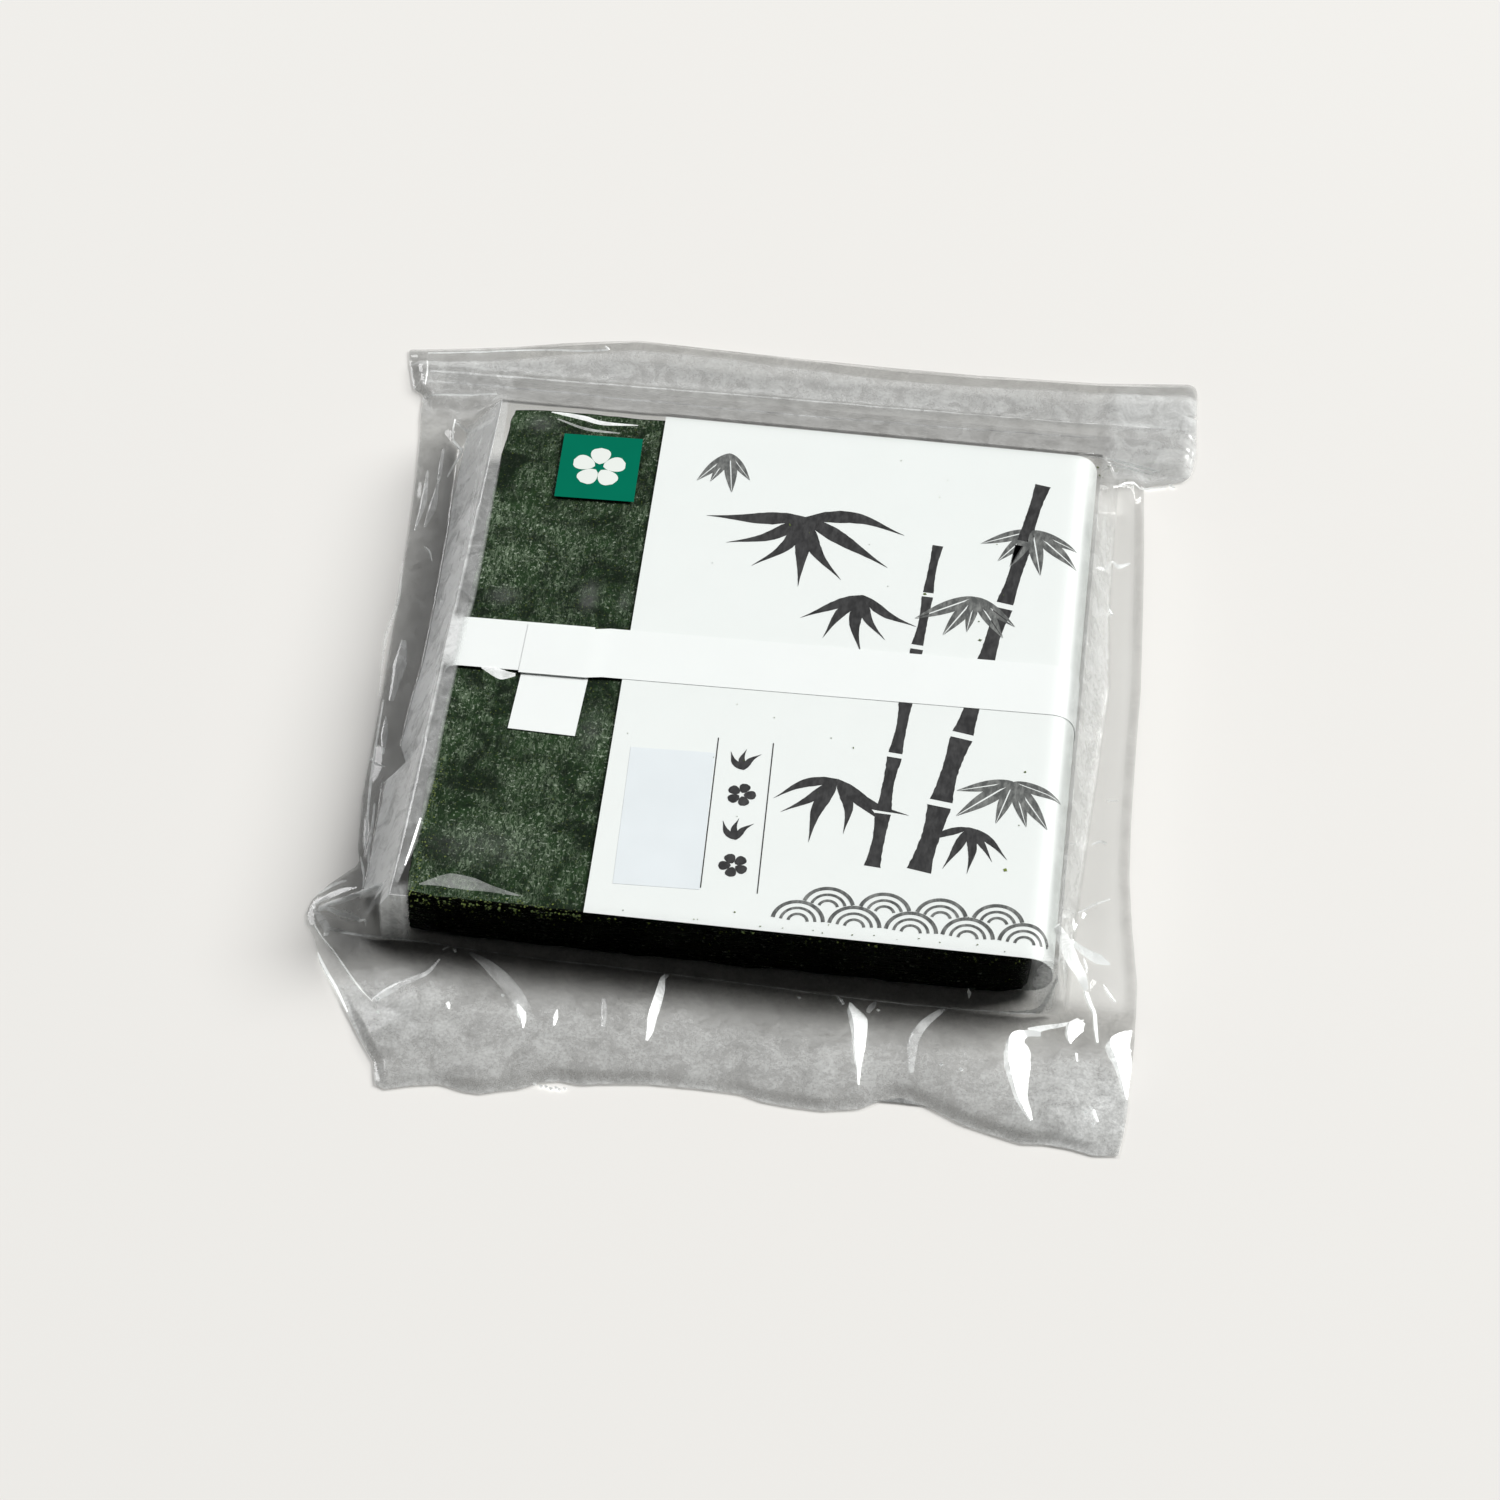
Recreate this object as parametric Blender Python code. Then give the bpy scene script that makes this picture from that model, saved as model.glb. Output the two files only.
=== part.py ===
"""A flat pack of fifty nori sheets: the stack, its paper wrapper, the paper band round both, two paper
labels, and the clear zip bag that holds them, with a label on its front.

Metres, +Z up. The pack lies on its back. +Y runs from the bag's open bottom flap to its zip header.
The origin is the middle of the bag's footprint, on the surface that the pack lies on.
"""

import math
import random

import bpy
import numpy as np

# One nori sheet, and the stack
SHEET_WIDTH = 0.190
SHEET_LENGTH = 0.210
SHEET_THICKNESS = 0.0002
SHEET_COUNT = 50
STACK_TOP = 0.0200
SIDE_STEPS = 5
EDGE_RAGGED = 0.0003
SHEET_SHIFT = 0.0003
SHEET_TURN = math.radians(0.08)
SHEET_CORNER = 0.0015
SEED = 50

# Paper, film, and the clearance between pieces that lie on each other
PAPER = 0.00015
FILM = 0.0003
GAP = 0.0002

# The middle of the stack, in the pack's frame
STACK_MIDDLE = (0.00195, -0.0013)

# Heights of the layers, from the surface up
WRAPPER_CROWN = 0.0003
BAND_BOTTOM = FILM + GAP
WRAPPER_BOTTOM = BAND_BOTTOM + PAPER + GAP
STACK_BOTTOM = WRAPPER_BOTTOM + PAPER + GAP + WRAPPER_CROWN
WRAPPER_TOP = STACK_TOP + GAP + WRAPPER_CROWN + PAPER
BAND_TOP = WRAPPER_TOP + GAP + PAPER
BAND_LAP_TOP = BAND_TOP + GAP + PAPER
FILM_OVER_STACK = BAND_LAP_TOP + GAP
SEAL_HEIGHT = FILM + GAP

# The wrapper: a C of paper, open on the left, that bulges past the stack on the right
WRAPPER_LEFT_FAR = -0.0433
WRAPPER_LEFT_NEAR = -0.0400
WRAPPER_NEAR = -0.1058
WRAPPER_FAR = 0.1064
WRAPPER_ROUND_FROM = 0.0925
WRAPPER_REACH = 0.0088
WRAPPER_ROUND_POWER = 2.5

# The band: a strip that goes once round and laps over its own end on the left of the top
BAND_WIDTH = 0.0208
BAND_LAP_FROM = -0.0743
BAND_LAP_TO = -0.0530
BAND_LAP_SLOPE = 0.0050
BAND_ROUND_FROM = -0.0925
BAND_LEFT_REACH = 0.0060
BAND_LEFT_POWER = 3.0
BAND_MIDDLE_AT_LEFT = -0.0025
BAND_MIDDLE_AT_RIGHT = 0.0016
BAND_LAP_STEP = -0.0009
ROUND_STEPS = 12

# Labels: middle, width, length and turn, from the middle of the stack
TAB_AT, TAB_SIZE, TAB_TURN = (-0.0629, -0.0166), (0.0212, 0.0400), math.radians(-1.5)
COUNT_AT, COUNT_SIZE, COUNT_TURN = (-0.0208, -0.0660), (0.0262, 0.0545), math.radians(2.2)
GRADE_AT, GRADE_SIZE, GRADE_TURN = (-0.0621, 0.0797), (0.0262, 0.0292), math.radians(1.8)

# The bag's two sides, from the bottom corners to the top ones: y and x on the left, y and x on the right
BAG_SIDES = (
    (-0.1620, -0.0941, -0.1595, 0.1251),
    (-0.1463, -0.1015, -0.1450, 0.1268),
    (-0.1359, -0.1080, -0.1350, 0.1270),
    (-0.1183, -0.1190, -0.1183, 0.1275),
    (-0.1109, -0.1219, -0.1109, 0.1274),
    (-0.1018, -0.1264, -0.1018, 0.1273),
    (-0.0957, -0.1254, -0.0957, 0.1271),
    (-0.0893, -0.1214, -0.0893, 0.1262),
    (-0.0803, -0.1137, -0.0803, 0.1251),
    (-0.0544, -0.1178, -0.0544, 0.1224),
    (-0.0039, -0.1197, -0.0039, 0.1215),
    (0.0222, -0.1211, 0.0222, 0.1216),
    (0.0582, -0.1231, 0.0582, 0.1204),
    (0.0860, -0.1253, 0.0860, 0.1192),
    (0.1140, -0.1287, 0.1140, 0.1180),
    (0.1170, -0.1290, 0.1170, 0.1270),
    (0.1215, -0.1294, 0.1215, 0.1328),
    (0.1255, -0.1298, 0.1255, 0.1334),
    (0.1280, -0.1325, 0.1290, 0.1340),
    (0.1356, -0.1358, 0.1356, 0.1343),
    (0.1375, -0.1361, 0.1375, 0.1341),
    (0.1430, -0.1375, 0.1560, 0.1336),
    (0.1465, -0.1382, 0.1634, 0.1332),
    (0.1473, -0.1379, 0.1660, 0.1307),
)
BOTTOM_EDGE = (
    (-0.0941, -0.1620),
    (-0.0909, -0.1634),
    (-0.0751, -0.1595),
    (-0.0629, -0.1615),
    (-0.0515, -0.1582),
    (-0.0402, -0.1538),
    (-0.0284, -0.1534),
    (0.0012, -0.1514),
    (0.0282, -0.1544),
    (0.0487, -0.1525),
    (0.0615, -0.1465),
    (0.0784, -0.1541),
    (0.0964, -0.1589),
    (0.1251, -0.1595),
)
TOP_EDGE = (
    (-0.1379, 0.1473),
    (-0.1007, 0.1539),
    (-0.0716, 0.1604),
    (-0.0600, 0.1624),
    (-0.0039, 0.1609),
    (0.0585, 0.1608),
    (0.0999, 0.1624),
    (0.1307, 0.1660),
)
EDGE_WAVE_DEPTH = 0.012

# The front film: where it leaves the stack's top, and how far out it comes down on each side
DOME_LEFT, DOME_RIGHT = -0.0988, 0.1024
DOME_NEAR, DOME_FAR = -0.1069, 0.1074
FALL_LEFT, FALL_RIGHT = 0.0115, 0.0080
FALL_NEAR, FALL_FAR = 0.0050, 0.0190
FALL_POWER = 1.1
FLAP_RISE = 0.0040
FLAP_WAVES = ((0.110, 0.6, 0.35), (0.047, 2.1, 0.25))
COLUMNS = (
    -0.1200, -0.1165, -0.1120, -0.1085, -0.1055, -0.1025, -0.1005, DOME_LEFT, -0.0900, -0.0600, -0.0300,
    0.0, 0.0300, 0.0600, 0.0900, DOME_RIGHT, 0.1045, 0.1070, 0.1100, 0.1130, 0.1165, 0.1200,
)
COLUMNS_FIXED = (-0.1025, 0.1045)
SIDE_MARGIN = 0.0110
EXTRA_ROWS = (
    -0.1540, -0.1260, -0.1150, -0.1130, -0.1095, -0.1080, DOME_NEAR, -0.1030, -0.0700, -0.0300, 0.0400,
    0.0720, 0.1000, DOME_FAR, 0.1088, 0.1105, 0.1120, 0.1190, 0.1235, 0.1315, 0.1380, 0.1405,
)

# Long folds that run down from the stack's corners: from, to, height at the start, half width
CORNER_FOLDS = (
    ((-0.0970, -0.1060), (-0.1250, -0.1019), 0.0150, 0.0085),
    ((0.1010, -0.1060), (0.1120, -0.1400), 0.0120, 0.0120),
    ((-0.0960, 0.1060), (-0.1180, 0.1230), 0.0120, 0.0090),
    ((0.1000, 0.1060), (0.1180, 0.1200), 0.0100, 0.0070),
)

# The zip's two tracks, from the stack's middle: profiles of y and z, up from the back film
ZIP_AT = 0.1318
ZIP_FROM, ZIP_TO = -0.1235, 0.1235
ZIP_WIDTH = 0.0090
ZIP_BASE = 0.00025
ZIP_LIP_INNER, ZIP_LIP_OUTER, ZIP_LIP_HEIGHT = 0.0007, 0.0012, 0.0009
ZIP_RIB_HALF, ZIP_RIB_HEIGHT = 0.0004, 0.0009
ZIP_BETWEEN = ZIP_LIP_HEIGHT + 0.00025
ZIP_TOP = SEAL_HEIGHT + 2 * ZIP_BASE + ZIP_BETWEEN
ZIP_CLEAR = 0.0030
ZIP_SHOULDER = 0.0040

# Finishes: base colour, roughness, alpha
NORI = ((0.018, 0.040, 0.014), 0.60, 1.0)
WHITE_PAPER = ((0.86, 0.88, 0.87), 0.55, 1.0)
BLUE_WHITE_PAPER = ((0.82, 0.87, 0.90), 0.45, 1.0)
GREEN_PAPER = ((0.002, 0.174, 0.100), 0.35, 1.0)
CLEAR_FILM = ((0.80, 0.82, 0.81), 0.12, 0.25)
ZIP_PLASTIC = ((0.70, 0.72, 0.72), 0.30, 0.55)


def clear_scene():
    """Removes every object that the scene starts with."""
    for leftover in list(bpy.data.objects):
        bpy.data.objects.remove(leftover, do_unlink=True)


def finish(name, values):
    """A material with this base colour, roughness and alpha."""
    colour, roughness, alpha = values
    material = bpy.data.materials.new(name)
    material.use_nodes = True
    shader = material.node_tree.nodes["Principled BSDF"]
    shader.inputs["Base Color"].default_value = (*colour, 1.0)
    shader.inputs["Roughness"].default_value = roughness
    shader.inputs["Metallic"].default_value = 0.0
    shader.inputs["Alpha"].default_value = alpha
    return material


def add_object(name, points, faces, values):
    """Puts a closed mesh in the scene: points from the stack's middle, moved to the pack's frame."""
    mesh = bpy.data.meshes.new(name)
    mesh.from_pydata([tuple(point) for point in points], [], [tuple(face) for face in faces])
    mesh.validate()
    made = bpy.data.objects.new(name, mesh)
    made.data.materials.append(finish(name, values))
    made.location = (*STACK_MIDDLE, 0.0)
    bpy.context.scene.collection.objects.link(made)
    return made


def slab(outline, bottom, top):
    """Points and faces of a flat plate: an anticlockwise outline of (x, y) between two heights."""
    count = len(outline)
    points = [(x, y, bottom) for x, y in outline] + [(x, y, top) for x, y in outline]
    faces = [tuple(reversed(range(count))), tuple(range(count, 2 * count))]
    faces += [
        (i, (i + 1) % count, (i + 1) % count + count, i + count) for i in range(count)
    ]
    return points, faces


def turned(outline, angle, shift):
    """The outline turned about the origin and then shifted."""
    c, s = math.cos(angle), math.sin(angle)
    return [(x * c - y * s + shift[0], x * s + y * c + shift[1]) for x, y in outline]


def rectangle(width, length):
    """A rectangle round the origin, anticlockwise."""
    x, y = width / 2, length / 2
    return [(-x, -y), (x, -y), (x, y), (-x, y)]


def ragged_outline(draw):
    """One sheet's outline: straight sides that stray a little, with blunt corners."""
    outline = []
    corners = rectangle(SHEET_WIDTH, SHEET_LENGTH)
    for (ax, ay), (bx, by) in zip(corners, corners[1:] + corners[:1]):
        side = math.hypot(bx - ax, by - ay)
        ux, uy = (bx - ax) / side, (by - ay) / side
        for step in range(SIDE_STEPS):
            along = SHEET_CORNER + (side - 2 * SHEET_CORNER) * step / (SIDE_STEPS - 1)
            out = draw.uniform(-EDGE_RAGGED, EDGE_RAGGED)
            outline.append((ax + ux * along + uy * out, ay + uy * along - ux * out))
    return outline


def build_sheets():
    """The stack: each sheet a thin plate with its own edge, a hair's turn and a hair's shift."""
    draw = random.Random(SEED)
    pitch = (STACK_TOP - SHEET_THICKNESS - STACK_BOTTOM) / (SHEET_COUNT - 1)
    for number in range(1, SHEET_COUNT + 1):
        shift = (draw.uniform(-SHEET_SHIFT, SHEET_SHIFT), draw.uniform(-SHEET_SHIFT, SHEET_SHIFT))
        outline = turned(ragged_outline(draw), draw.uniform(-SHEET_TURN, SHEET_TURN), shift)
        bottom = STACK_BOTTOM + (number - 1) * pitch
        points, faces = slab(outline, bottom, bottom + SHEET_THICKNESS)
        add_object(f"nori_sheet_{number:02d}", points, faces, NORI)


def bulge(start, reach, bottom, top, power, side):
    """Points of (x, z) down a rounded side, from the top to the bottom: a superellipse's half."""
    middle, half = (top + bottom) / 2, (top - bottom) / 2
    points = []
    for step in range(ROUND_STEPS + 1):
        angle = math.pi / 2 - math.pi * step / ROUND_STEPS
        out = abs(math.cos(angle)) ** (2 / power) if 0 < step < ROUND_STEPS else 0.0
        up = math.copysign(abs(math.sin(angle)) ** (2 / power), math.sin(angle))
        points.append((start + side * reach * out, middle + half * up))
    return points


def strip(inner, outer, near, far):
    """Points and faces of a paper strip: a path of (x, z) on its two faces, from y near to y far.

    near and far hold one (x shift, y) for each point of the path.
    """
    count = len(inner)
    rows = [(inner, near), (inner, far), (outer, far), (outer, near)]
    points = [
        (x + shift, y, z) for path, side in rows for (x, z), (shift, y) in zip(path, side)
    ]
    faces = []
    for row in range(4):
        a, b = row * count, (row + 1) % 4 * count
        faces += [(a + i, b + i, b + i + 1, a + i + 1) for i in range(count - 1)]
    last = count - 1
    faces += [(0, 3 * count, 2 * count, count)]
    faces += [(last, count + last, 2 * count + last, 3 * count + last)]
    return points, faces


def wrapper_path(paper_side):
    """The wrapper's path of (x, z): along the top, down the bulging right side, back underneath.

    paper_side is 0 for the inner face and 1 for the outer one.
    """
    grow = PAPER * paper_side
    bottom = WRAPPER_BOTTOM + PAPER - grow
    top = WRAPPER_TOP - PAPER + grow
    side = bulge(WRAPPER_ROUND_FROM, WRAPPER_REACH + grow, bottom, top, WRAPPER_ROUND_POWER, 1)
    return [(WRAPPER_LEFT_FAR, top)] + side + [(WRAPPER_LEFT_FAR, bottom)]


def build_wrapper():
    """The printed paper: its left edge is cut a little askew, so the near end starts further right."""
    inner, outer = wrapper_path(0), wrapper_path(1)
    skew = WRAPPER_LEFT_NEAR - WRAPPER_LEFT_FAR
    last = len(inner) - 1
    near = [(skew if i in (0, last) else 0.0, WRAPPER_NEAR) for i in range(last + 1)]
    far = [(0.0, WRAPPER_FAR)] * (last + 1)
    add_object("paper_wrapper", *strip(inner, outer, near, far), WHITE_PAPER)


def band_path(paper_side):
    """The band's path of (x, z), from the lap's upper end right round to its lower end."""
    grow = PAPER * paper_side
    bottom = BAND_BOTTOM + PAPER - grow
    top = BAND_TOP - PAPER + grow
    lap = BAND_LAP_TOP - PAPER + grow
    right_reach = WRAPPER_REACH + PAPER + GAP + grow
    right = bulge(WRAPPER_ROUND_FROM, right_reach, bottom, top, WRAPPER_ROUND_POWER, 1)
    left = bulge(BAND_ROUND_FROM, BAND_LEFT_REACH + grow, bottom, top, BAND_LEFT_POWER, -1)
    path = [(BAND_LAP_FROM, lap), (BAND_LAP_TO + GAP, lap), (BAND_LAP_TO + BAND_LAP_SLOPE, top)]
    return path + right + left[::-1] + [(BAND_LAP_TO, top)]


def build_band():
    """The paper band. It lies a little askew, and the lap's upper end sits a step nearer."""
    inner, outer = band_path(0), band_path(1)
    xs = [x for x, _ in inner]
    span = max(xs) - min(xs)
    near, far = [], []
    for i, x in enumerate(xs):
        part = (x - min(xs)) / span
        middle = BAND_MIDDLE_AT_LEFT + (BAND_MIDDLE_AT_RIGHT - BAND_MIDDLE_AT_LEFT) * part
        middle += BAND_LAP_STEP if i < 2 else 0.0
        near.append((0.0, middle - BAND_WIDTH / 2))
        far.append((0.0, middle + BAND_WIDTH / 2))
    add_object("paper_band", *strip(inner, outer, near, far), WHITE_PAPER)


def build_labels():
    """The blank tab under the band, the count label on the wrapper and the grade label on the film."""
    film_top = FILM_OVER_STACK + FILM
    labels = (
        ("band_tab", TAB_AT, TAB_SIZE, TAB_TURN, STACK_TOP + GAP, WHITE_PAPER),
        ("count_label", COUNT_AT, COUNT_SIZE, COUNT_TURN, WRAPPER_TOP + GAP, BLUE_WHITE_PAPER),
        ("grade_label", GRADE_AT, GRADE_SIZE, GRADE_TURN, film_top + GAP, GREEN_PAPER),
    )
    for name, middle, size, turn, bottom, values in labels:
        outline = turned(rectangle(*size), turn, middle)
        add_object(name, *slab(outline, bottom, bottom + PAPER), values)


def film_grid():
    """x and y of the film's grid, one row for each station up the bag and one column across it.

    In the middle the columns keep their place, so that the film folds over the stack along them, and
    towards the sides they spread to the bag's edges. The bottom and top rows follow the wavy edges.
    """
    table = np.array(BAG_SIDES)
    rows = np.array(sorted(set(table[:, 0]) | set(EXTRA_ROWS)))
    left_x, right_y, right_x = (np.interp(rows, table[:, 0], table[:, k])[:, None] for k in (1, 2, 3))
    columns = np.array(COLUMNS)[None, :]
    inner_left = np.maximum(COLUMNS_FIXED[0], left_x + SIDE_MARGIN)
    inner_right = np.minimum(COLUMNS_FIXED[1], right_x - SIDE_MARGIN)
    fixed_span = COLUMNS_FIXED[1] - COLUMNS_FIXED[0]
    x = inner_left + (columns - COLUMNS_FIXED[0]) / fixed_span * (inner_right - inner_left)
    left_part = (columns - columns[0, 0]) / (COLUMNS_FIXED[0] - columns[0, 0])
    right_part = (columns - COLUMNS_FIXED[1]) / (columns[0, -1] - COLUMNS_FIXED[1])
    x = np.where(columns < COLUMNS_FIXED[0], left_x + left_part * (inner_left - left_x), x)
    x = np.where(columns > COLUMNS_FIXED[1], inner_right + right_part * (right_x - inner_right), x)
    across = (x - left_x) / (right_x - left_x)
    y = rows[:, None] + across * (right_y - rows[:, None])
    for edge, row in ((BOTTOM_EDGE, 0), (TOP_EDGE, -1)):
        measured = np.array(edge)
        wave = np.interp(x[row], measured[:, 0], measured[:, 1]) - y[row]
        fade = np.clip(1 - np.abs(rows - rows[row]) / EDGE_WAVE_DEPTH, 0, 1)
        y = y + fade[:, None] * wave[None, :]
    return x, y


def dome(x, y):
    """How high the film stands because of the stack: full over it, falling away outside its edges."""
    out_x = np.maximum(np.maximum((DOME_LEFT - x) / FALL_LEFT, (x - DOME_RIGHT) / FALL_RIGHT), 0)
    out_y = np.maximum(np.maximum((DOME_NEAR - y) / FALL_NEAR, (y - DOME_FAR) / FALL_FAR), 0)
    left_over = np.clip(1 - np.hypot(out_x, out_y), 0, 1)
    return (FILM_OVER_STACK - SEAL_HEIGHT) * left_over**FALL_POWER


def corner_folds(x, y):
    """The long folds: each is a tent whose ridge runs straight down from a corner of the stack."""
    height = np.zeros_like(x)
    for (ax, ay), (bx, by), start, half in CORNER_FOLDS:
        length = math.hypot(bx - ax, by - ay)
        ux, uy = (bx - ax) / length, (by - ay) / length
        along = ((x - ax) * ux + (y - ay) * uy) / length
        off = np.abs((y - ay) * ux - (x - ax) * uy)
        tent = start * np.clip(1 - along, 0, 1) * np.clip(1 - off / half, 0, 1)
        height = np.maximum(height, np.where(along > 0, tent, 0))
    return height


def flap_rise(x, y):
    """The near flap stands off the surface in soft waves, and lies down again at its edge."""
    edge = np.interp(x, *np.array(BOTTOM_EDGE).T)
    start = DOME_NEAR - FALL_NEAR / 2
    down = np.clip((start - y) / (start - edge), 0, 1)
    waves = 1 + sum(size * np.sin(2 * math.pi * x / length + lag) for length, lag, size in FLAP_WAVES)
    left, right = BAG_SIDES[0][1], BAG_SIDES[0][3]
    inside = np.clip(np.minimum(x - left, right - x) / SIDE_MARGIN, 0, 1)
    return FLAP_RISE * 4 * down * (1 - down) * waves * inside


def zip_rise(y):
    """The header swells over the zip and lies flat again on both sides of it."""
    off = np.abs(y - ZIP_AT) - ZIP_WIDTH / 2 - ZIP_CLEAR
    return (ZIP_TOP + GAP - SEAL_HEIGHT) * np.clip(1 - off / ZIP_SHOULDER, 0, 1)


def closed_film(x, y, under, over):
    """Points and faces of a film: a grid's lower and upper surfaces, joined round the edge."""
    rows, columns = x.shape
    points = np.concatenate(
        [np.stack([x, y, under], -1).reshape(-1, 3), np.stack([x, y, over], -1).reshape(-1, 3)]
    )
    index = np.arange(rows * columns).reshape(rows, columns)
    a, b, c, d = index[:-1, :-1], index[:-1, 1:], index[1:, 1:], index[1:, :-1]
    upper = rows * columns
    faces = np.stack([a, d, c, b], -1).reshape(-1, 4).tolist()
    faces += (np.stack([a, b, c, d], -1).reshape(-1, 4) + upper).tolist()
    rim = np.concatenate([index[0, :-1], index[:-1, -1], index[-1, :0:-1], index[:0:-1, 0]]).tolist()
    for here, there in zip(rim, rim[1:] + rim[:1]):
        faces.append((here, there, there + upper, here + upper))
    return points, faces


def build_bag():
    """The bag's two films. The back one lies flat; the front one goes up and over the stack."""
    x, y = film_grid()
    height = np.maximum(dome(x, y), corner_folds(x, y))
    height = np.maximum(np.maximum(height, flap_rise(x, y)), zip_rise(y))
    height[:, [0, -1]] = 0.0
    under = SEAL_HEIGHT + height
    add_object("bag_front_film", *closed_film(x, y, under, under + FILM), CLEAR_FILM)
    outline = list(zip(x[0, :-1], y[0, :-1])) + list(zip(x[:-1, -1], y[:-1, -1]))
    outline += list(zip(x[-1, :0:-1], y[-1, :0:-1])) + list(zip(x[:0:-1, 0], y[:0:-1, 0]))
    add_object("bag_back_film", *slab(outline, 0.0, FILM), CLEAR_FILM)


def zip_track(name, profile):
    """One track of the zip: a profile of (y, z), anticlockwise seen from the right, run across."""
    count = len(profile)
    points = [(x, ZIP_AT + y, z) for x in (ZIP_FROM, ZIP_TO) for y, z in profile]
    faces = [tuple(reversed(range(count))), tuple(range(count, 2 * count))]
    faces += [
        (i, (i + 1) % count, (i + 1) % count + count, i + count) for i in range(count)
    ]
    add_object(name, points, faces, ZIP_PLASTIC)


def build_zip():
    """The zip: a track with two lips on the back film, and one with a rib that sits between them."""
    half = ZIP_WIDTH / 2
    low = SEAL_HEIGHT
    base = low + ZIP_BASE
    lips = base + ZIP_LIP_HEIGHT
    groove = [
        (-half, low), (half, low), (half, base),
        (ZIP_LIP_OUTER, base), (ZIP_LIP_OUTER, lips), (ZIP_LIP_INNER, lips), (ZIP_LIP_INNER, base),
        (-ZIP_LIP_INNER, base), (-ZIP_LIP_INNER, lips), (-ZIP_LIP_OUTER, lips), (-ZIP_LIP_OUTER, base),
        (-half, base),
    ]
    plate = base + ZIP_BETWEEN
    rib = plate - ZIP_RIB_HEIGHT
    ridge = [
        (-half, plate), (-ZIP_RIB_HALF, plate), (-ZIP_RIB_HALF, rib), (ZIP_RIB_HALF, rib),
        (ZIP_RIB_HALF, plate), (half, plate), (half, plate + ZIP_BASE), (-half, plate + ZIP_BASE),
    ]
    zip_track("zip_groove_track", groove)
    zip_track("zip_rib_track", ridge)


clear_scene()
build_sheets()
build_wrapper()
build_band()
build_labels()
build_bag()
build_zip()
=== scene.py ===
"""Looks of a flat pack of nori: the sheets, the printed wrapper, the band, the labels and the clear zip bag.

Places are in millimetres from the middle of the stack of sheets, +X to the right, +Y towards the zip header
and +Z up, and make_piece takes them to metres in the pack's own frame. Every surface is worked out as a grid
of two parameters, or as a profile carried along a path, with numpy.
"""

import logging
import math
from collections.abc import Callable
from dataclasses import dataclass
from enum import Enum

import bpy
import numpy as np
from mathutils import Matrix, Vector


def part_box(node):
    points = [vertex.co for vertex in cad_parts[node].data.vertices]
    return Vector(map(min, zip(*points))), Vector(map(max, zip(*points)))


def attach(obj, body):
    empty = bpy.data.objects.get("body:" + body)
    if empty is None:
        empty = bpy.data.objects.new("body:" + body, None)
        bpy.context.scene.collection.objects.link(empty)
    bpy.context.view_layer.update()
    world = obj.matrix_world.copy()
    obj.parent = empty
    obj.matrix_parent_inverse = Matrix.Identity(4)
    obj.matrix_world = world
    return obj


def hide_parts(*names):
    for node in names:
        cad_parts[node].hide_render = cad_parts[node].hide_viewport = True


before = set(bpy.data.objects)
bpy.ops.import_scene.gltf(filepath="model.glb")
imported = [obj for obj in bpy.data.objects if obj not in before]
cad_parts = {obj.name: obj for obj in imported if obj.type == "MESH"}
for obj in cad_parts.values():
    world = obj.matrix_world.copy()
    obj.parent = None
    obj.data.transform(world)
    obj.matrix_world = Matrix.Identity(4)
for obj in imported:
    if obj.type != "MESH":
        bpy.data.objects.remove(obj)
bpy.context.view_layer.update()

Array = np.ndarray
Body = tuple[Array, Array]
Edge = Array | float
Pair = tuple[float, float]
Line = tuple[Pair, ...]
Place = tuple[float, float, float]
Colour = tuple[float, float, float, float]
Socket = bpy.types.NodeSocket
LOG = logging.getLogger("nori_pack")
MM = 0.001

# The middle of the stack in the pack's frame, and the stack itself
STACK_MIDDLE = np.array([1.95, -1.3, 0.0])
SHEET_WIDTH = 190.0
SHEET_LENGTH = 210.0
SHEET_COUNT = 50

# Heights of the layers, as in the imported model
STACK_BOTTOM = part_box("nori_sheet_01")[0].z / MM
STACK_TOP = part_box("nori_sheet_50")[1].z / MM
WRAPPER_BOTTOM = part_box("paper_wrapper")[0].z / MM
WRAPPER_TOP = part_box("paper_wrapper")[1].z / MM
BAND_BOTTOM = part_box("paper_band")[0].z / MM
PAPER = 0.12
FILM = 0.12
LOW_FILM = 0.45
OVER_PAPER = 0.36
SHARP_ANGLE = math.radians(60)


class Slot(Enum):
    """The record's material slots."""

    NORI = "nori"
    WRAPPER = "printed_paper"
    BAND = "band_paper"
    TAB = "tab_paper"
    COUNT = "count_paper"
    GRADE = "grade_paper"
    FILM = "clear_film"
    ZIP = "zip_plastic"


def ramp_up(value: Array, start: Array | float, length: float) -> Array:
    """Goes from 0 to 1 with level ends, as a cubic in t, which is 0 at start and 1 a length past it.

    Args:
        value: where it is read.
        start: where it leaves 0.
        length: how far on it reaches 1.

    Returns:
        Numbers from 0 to 1.
    """
    t = np.clip((value - start) / length, 0, 1)
    return t * t * (3 - 2 * t)


def ramp_down(value: Array, stop: Array | float, length: float) -> Array:
    """The same from 1 to 0, with the 0 at stop."""
    return ramp_up(stop - value, 0, length)


def margin(x: Array, y: Array, left: Edge, right: Edge, near: Edge, far: Edge) -> Array:
    """How far inside the nearest of four edges a place is, measured along x or y."""
    return np.minimum(np.minimum(x - left, right - x), np.minimum(y - near, far - y))


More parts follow.
